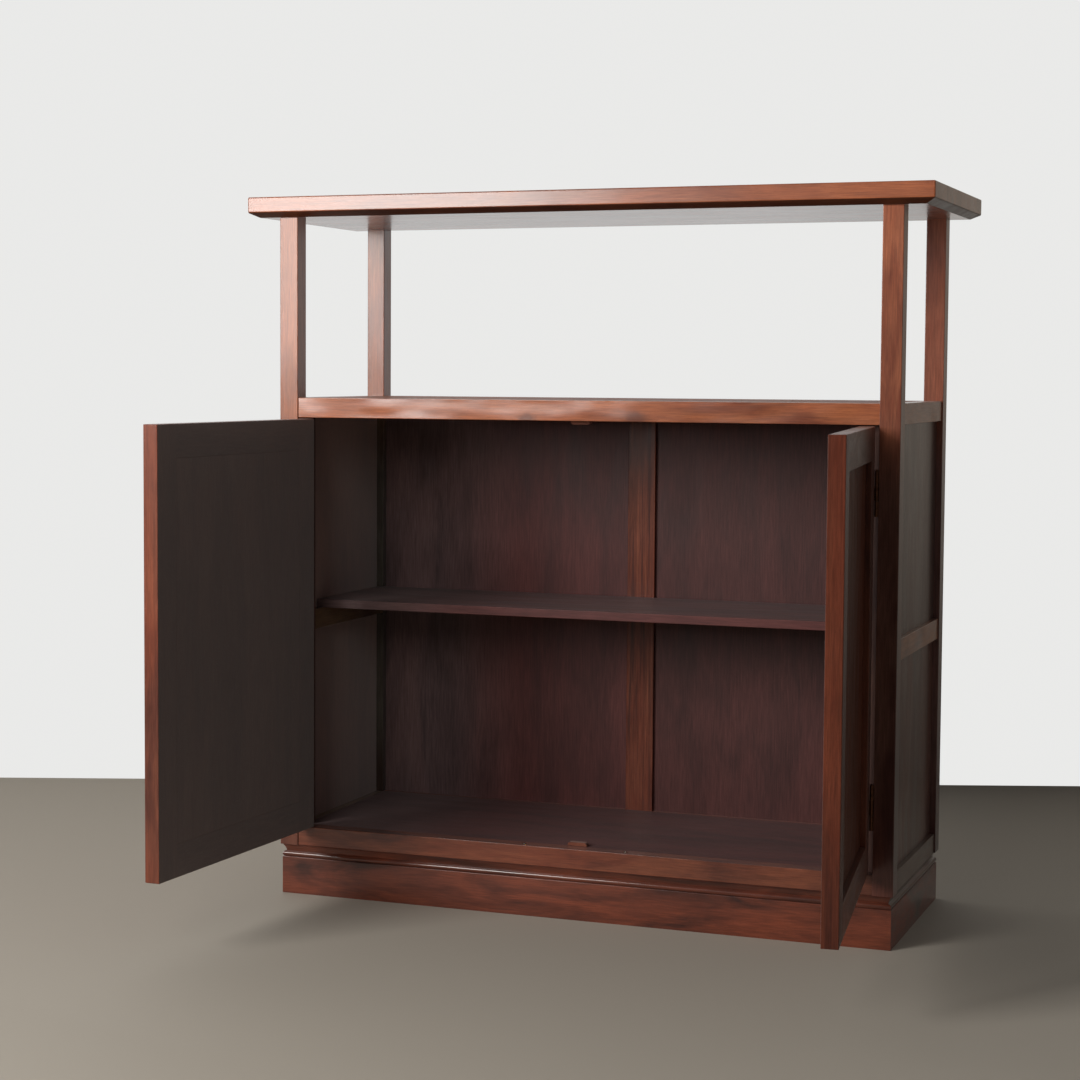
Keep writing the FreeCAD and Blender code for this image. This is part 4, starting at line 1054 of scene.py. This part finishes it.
# section of the bead: its middle, radius, first and last angle, and steps
BEAD = ((4.6 * MM, 3.9 * MM), 4.1 * MM, 251, 95, 14)
# section of the cove: its foot, how far in its tip is, its depth, and steps
COVE_FOOT = (5.4 * MM, 8.8 * MM)
COVE_TIP = 0.1 * MM
COVE_SAG = 0.8 * MM
COVE_STEPS = 12


class CabinetTop(bpy.types.Operator):
    """Finish the solid top"""
    bl_idname = "cabinet.top"
    bl_label = "Top"

    def execute(self, context):
        arris = context.scene.cabinet_wood.arris * TOP_SOFTER
        # the chamfer faces take the much darker chamfer finish, which is painted shade
        dress_board("top_board", "x", top_finish(), arris, ends=True, faces_needed=1,
                    lining=chamfer_shade_finish(), inwards=is_chamfer)
        return {"FINISHED"}


class CabinetPosts(bpy.types.Operator):
    """Finish the four posts"""
    bl_idname = "cabinet.posts"
    bl_label = "Posts"

    def execute(self, context):
        for side in SIDES:
            for place in ("front", "rear"):
                dress_board("post_%s_%s" % (place, side), "z", frame_finish(),
                            context.scene.cabinet_wood.arris)
        return {"FINISHED"}


class CabinetRails(bpy.types.Operator):
    """Finish the rails round the deck, the shelf and the floor"""
    bl_idname = "cabinet.rails"
    bl_label = "Rails"

    def execute(self, context):
        arris = context.scene.cabinet_wood.arris
        for row, look in (("deck", rail_finish), ("low", low_rail_finish)):
            for place in ("front", "rear"):
                dress_board("%s_rail_%s" % (row, place), "x", look(), arris)
        for row in ("deck", "mid", "low"):
            for side in SIDES:
                dress_board("%s_rail_%s" % (row, side), "y", rail_finish(), arris)
        return {"FINISHED"}


class CabinetPanels(bpy.types.Operator):
    """Finish the side and back panels and the back stile"""
    bl_idname = "cabinet.panels"
    bl_label = "Panels"

    def execute(self, context):
        arris = context.scene.cabinet_wood.arris
        looks_in = {"left": lambda normal: normal.x > FACING,
                    "right": lambda normal: normal.x < -FACING}
        for side in SIDES:
            for name in ("side_panel_lower_", "side_panel_upper_"):
                dress_board(name + side, "z", panel_finish(), arris,
                            lining=side_lining_finish(), inwards=looks_in[side])
            dress_board("back_panel_" + side, "z", inner_finish(), arris)
        dress_board("back_stile", "z", stile_finish(), arris)
        return {"FINISHED"}


class CabinetBoards(bpy.types.Operator):
    """Finish the deck, the shelf and the cupboard floor"""
    bl_idname = "cabinet.boards"
    bl_label = "Deck, shelf and floor"

    def execute(self, context):
        arris = context.scene.cabinet_wood.arris
        dress_board("deck_panel", "x", deck_finish(), arris)
        dress_board("shelf", "x", inner_finish(), arris, ends=True)
        dress_board("floor_panel", "x", inner_finish(), arris)
        return {"FINISHED"}


class CabinetBase(bpy.types.Operator):
    """Make the mitred plinth and the bead and cove over it"""
    bl_idname = "cabinet.base"
    bl_label = "Plinth and moulding"

    def execute(self, context):
        soft = context.scene.cabinet_wood.arris
        for number, place in enumerate(PLACES):
            low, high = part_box("plinth_" + place)
            tall = high.z - low.z
            rim = arc((soft, tall - soft), soft, start=180, end=90, steps=4)
            points = [(0.0, 0.0)] + rim + [(PLINTH_THICK, tall), (PLINTH_THICK, 0.0)]
            mitred_piece("plinth_" + place, points, plinth_finish(), number)
        low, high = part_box("base_mould_front")
        tall = high.z - low.z
        cove = hollow(COVE_FOOT, (COVE_TIP, tall), COVE_SAG, COVE_STEPS)
        points = arc(*BEAD) + cove + [(MOULD_DEEP, tall), (MOULD_DEEP, 0.0)]
        for number, place in enumerate(PLACES):
            mitred_piece("base_mould_" + place, points, moulding_finish(), number)
        return {"FINISHED"}


class CabinetHidden(bpy.types.Operator):
    """Finish the brace and the glue blocks inside the plinth"""
    bl_idname = "cabinet.hidden"
    bl_label = "Brace and blocks"

    def execute(self, context):
        for node, grain in (("plinth_brace", "y"), ("corner_blocks", "z")):
            dress_board(node, grain, bare_finish(), context.scene.cabinet_wood.arris)
        return {"FINISHED"}


class CabinetDoors(bpy.types.Operator):
    """Finish the two doors"""
    bl_idname = "cabinet.doors"
    bl_label = "Doors"

    def execute(self, context):
        arris = context.scene.cabinet_wood.door_arris
        for side in SIDES:
            stiles = [side + "_door_hinge_stile", side + "_door_free_stile"]
            rails = [side + "_door_top_rail", side + "_door_bottom_rail"]
            corners = [to_closed(node) @ vert.co for node in stiles + rails
                       for vert in NODES[node].data.vertices]
            facts = {"whole": box_of(corners), "lining": lining_finish()}
            for node in stiles:
                dress_board(node, "z", door_finish(), arris, ends=True, **facts)
            for node in rails:
                dress_board(node, "x", door_finish(), arris, **facts)
            dress_board(side + "_door_panel", "z", door_panel_finish(), arris, **facts)
        return {"FINISHED"}


class CabinetStops(bpy.types.Operator):
    """Finish the door stops and the strips at the hinges"""
    bl_idname = "cabinet.stops"
    bl_label = "Door stops and strips"

    def execute(self, context):
        arris = context.scene.cabinet_wood.arris
        dress_board("door_stops", "x", stop_finish(), arris)
        dress_board("door_strips", "z", strip_finish(), arris)
        return {"FINISHED"}


class CabinetCatches(bpy.types.Operator):
    """Make the ball catches and their strike plates"""
    bl_idname = "cabinet.catches"
    bl_label = "Ball catches"

    def execute(self, context):
        care = context.scene.cabinet_brass
        dress_metal("catch_housings", brass(), care.soften)
        for side in SIDES:
            dress_metal(side + "_strike_plate", brass(), care.soften)
            low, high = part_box("catch_ball_" + side)
            bm = bmesh.new()
            bmesh.ops.create_icosphere(bm, subdivisions=4, radius=(high.z - low.z) / 2,
                                       matrix=Matrix.Translation((low + high) / 2))
            name = "catch_ball_%s_polished" % side
            mesh = mesh_of(bm, name)
            smooth(mesh)
            add_piece(name, mesh, ball_metal(), ["catch_ball_" + side])
        return {"FINISHED"}


class CabinetHinges(bpy.types.Operator):
    """Make the brass hinges and their pins"""
    bl_idname = "cabinet.hinges"
    bl_label = "Hinges"

    def execute(self, context):
        care = context.scene.cabinet_brass
        for side in SIDES:
            for part in ("post", "door"):
                dress_metal("%s_hinge_%s_leaves" % (side, part), dark_brass(), care.soften)
        dress_metal("hinge_pins", dark_brass(), care.soften)
        return {"FINISHED"}


class CabinetScrews(bpy.types.Operator):
    """Make the slotted screws of the hinges"""
    bl_idname = "cabinet.screws"
    bl_label = "Screws"

    def execute(self, context):
        for seed, place in enumerate(("hinge_post", "left_hinge_door", "right_hinge_door")):
            screw_piece(place + "_screws", seed)
        return {"FINISHED"}


# ---------------------------------------------------------------- stage
# the wall's painted reflection, as lacquer mirrors it: metres from and to, and its level at each
WALL_ALONG = (-0.1, 1.0, 1.0, 0.25)
WALL_UP = (-0.1, 1.0, 0.2, 1.0)
# metres along the wall between which its tone goes over to the shaded one
WALL_DIM = (0.1, 0.8)
ROOM_COLOUR = (1.0, 0.99, 0.97)
LAMP_COLOUR = (1.0, 0.98, 0.95)
FLOOR_ROUGH = 0.7
SENSOR_WIDE = 36.0
SIGHT = 100.0


def floor_material(care):
    """A plain pale floor."""
    material, tree, output = new_material("studio_floor")
    surface(tree, output, "ShaderNodeBsdfPrincipled", {"Base Color": solid(care.floor),
                                                       "Roughness": FLOOR_ROUGH})
    return material


def wall_sheet(name, care, corners, material):
    """A flat sheet whose X runs along the wall; corners are (along, out from the wall, height)."""
    mesh = bpy.data.meshes.new(name)
    mesh.from_pydata(corners, [], [(0, 1, 2, 3)])
    mesh.transform(Matrix.Translation(care.wall_place) @ Matrix.Rotation(care.wall_turn, 4, "Z"))
    mesh.materials.append(material)
    sheet = in_scene(name, mesh)
    return sheet


def studio_world(care):
    """Pale background and a soft even room light."""
    world = bpy.data.worlds.new("studio")
    bpy.context.scene.world = world
    world.use_nodes = True
    tree = world.node_tree
    tree.nodes.clear()
    output = put(tree, "ShaderNodeOutputWorld")
    room = put(tree, "ShaderNodeBackground", {"Color": solid(ROOM_COLOUR), "Strength": care.fill})
    plain = put(tree, "ShaderNodeBackground", {"Color": solid(care.wall), "Strength": 1.0})
    seen = put(tree, "ShaderNodeLightPath").outputs["Is Camera Ray"]
    surface(tree, output, "ShaderNodeMixShader", {0: seen, 1: room.outputs[0], 2: plain.outputs[0]})


def wall_material(care):
    """White wall; glossy rays see it glow as a painted reflection in the tone of the background, dimmer to the
    right.
    """
    material, tree, output = new_material("studio_wall")
    matt = put(tree, "ShaderNodeBsdfDiffuse", {"Color": solid(care.wall)})
    along, _, up = split(tree, object_place(tree))
    strength = times(tree, remap(tree, along, *WALL_ALONG), remap(tree, up, *WALL_UP))
    tint = blend(tree, remap(tree, along, *WALL_DIM), solid(care.wall), solid(care.wall_dim))
    glow = put(tree, "ShaderNodeEmission", {"Color": tint, "Strength": strength})
    mirrored = put(tree, "ShaderNodeLightPath").outputs["Is Glossy Ray"]
    surface(tree, output, "ShaderNodeMixShader", {0: mirrored, 1: matt.outputs[0],
                                                  2: glow.outputs[0]})
    return material


def add_lamp(name, place, wide, high, watts):
    """An upright oblong lamp that faces the cabinet."""
    lamp = bpy.data.lights.new(name, "AREA")
    lamp.shape = "RECTANGLE"
    lamp.size = wide
    lamp.size_y = high
    lamp.energy = watts
    lamp.color = LAMP_COLOUR
    holder = in_scene(name, lamp)
    holder.location = place
    towards = Vector((-place[0], -place[1], 0.0))
    holder.rotation_euler = towards.to_track_quat("-Z", "Y").to_euler()
    return holder


class CabinetStudio(bpy.types.Operator):
    """Lay the floor and set up the light and the camera"""
    bl_idname = "cabinet.studio"
    bl_label = "Studio"

    def execute(self, context):
        scene = context.scene
        care = scene.cabinet_stage
        far = care.reach
        ground = [(-far, -far, 0), (far, -far, 0), (far, 0, 0), (-far, 0, 0)]
        wall_sheet("studio_floor", care, ground, floor_material(care))
        upright = [(-far, 0, 0), (far, 0, 0), (far, 0, far), (-far, 0, far)]
        wall = wall_sheet("studio_wall", care, upright, wall_material(care))
        wall.visible_camera = False
        studio_world(care)
        add_lamp("window", care.key_place, care.key_wide, care.key_high, care.key_watts)
        wide = care.bounce_wide
        bounce = add_lamp("bounce", care.bounce_place, wide, wide, care.bounce_watts)
        bounce.visible_glossy = False
        data = bpy.data.cameras.new("eye")
        data.lens = care.lens / MM
        data.sensor_width = SENSOR_WIDE
        data.shift_x, data.shift_y = care.shift
        data.clip_end = SIGHT
        eye = in_scene("eye", data)
        turn = Matrix.Rotation(care.yaw, 4, "Z") @ Matrix.Rotation(math.pi / 2 - care.pitch, 4, "X")
        eye.matrix_world = Matrix.Translation(care.eye) @ turn @ Matrix.Rotation(care.roll, 4, "Z")
        scene.camera = eye
        scene.view_settings.view_transform = "Standard"
        return {"FINISHED"}


OPERATORS = (CabinetTop, CabinetPosts, CabinetRails, CabinetPanels, CabinetBoards, CabinetBase,
             CabinetHidden, CabinetDoors, CabinetStops, CabinetCatches, CabinetHinges, CabinetScrews,
             CabinetStudio)
GROUPS = {"cabinet_wood": CabinetWood, "cabinet_brass": CabinetBrass, "cabinet_stage": CabinetStage}


class CabinetPanel(bpy.types.Panel):
    """Buttons for each step of the cabinet"""
    bl_idname = "VIEW3D_PT_cabinet"
    bl_label = "Bar cabinet"
    bl_space_type = "VIEW_3D"
    bl_region_type = "UI"
    bl_category = "Cabinet"

    def draw(self, context):
        for step in OPERATORS:
            self.layout.operator(step.bl_idname)
        for name in GROUPS:
            box = self.layout.box()
            settings = getattr(context.scene, name)
            for field in settings.__annotations__:
                box.prop(settings, field)


CLASSES = (*GROUPS.values(), *OPERATORS, CabinetPanel)


def register():
    """Register the classes and hang the settings on the scene."""
    for item in CLASSES:
        bpy.utils.register_class(item)
    for name, group in GROUPS.items():
        setattr(bpy.types.Scene, name, bpy.props.PointerProperty(type=group))


def unregister():
    """Take the settings and the classes away again."""
    for name in GROUPS:
        delattr(bpy.types.Scene, name)
    for item in reversed(CLASSES):
        bpy.utils.unregister_class(item)


def main():
    """Register the add-on and run every step."""
    register()
    for step in OPERATORS:
        getattr(bpy.ops.cabinet, step.bl_idname.split(".")[1])()


if __name__ == "__main__":
    main()
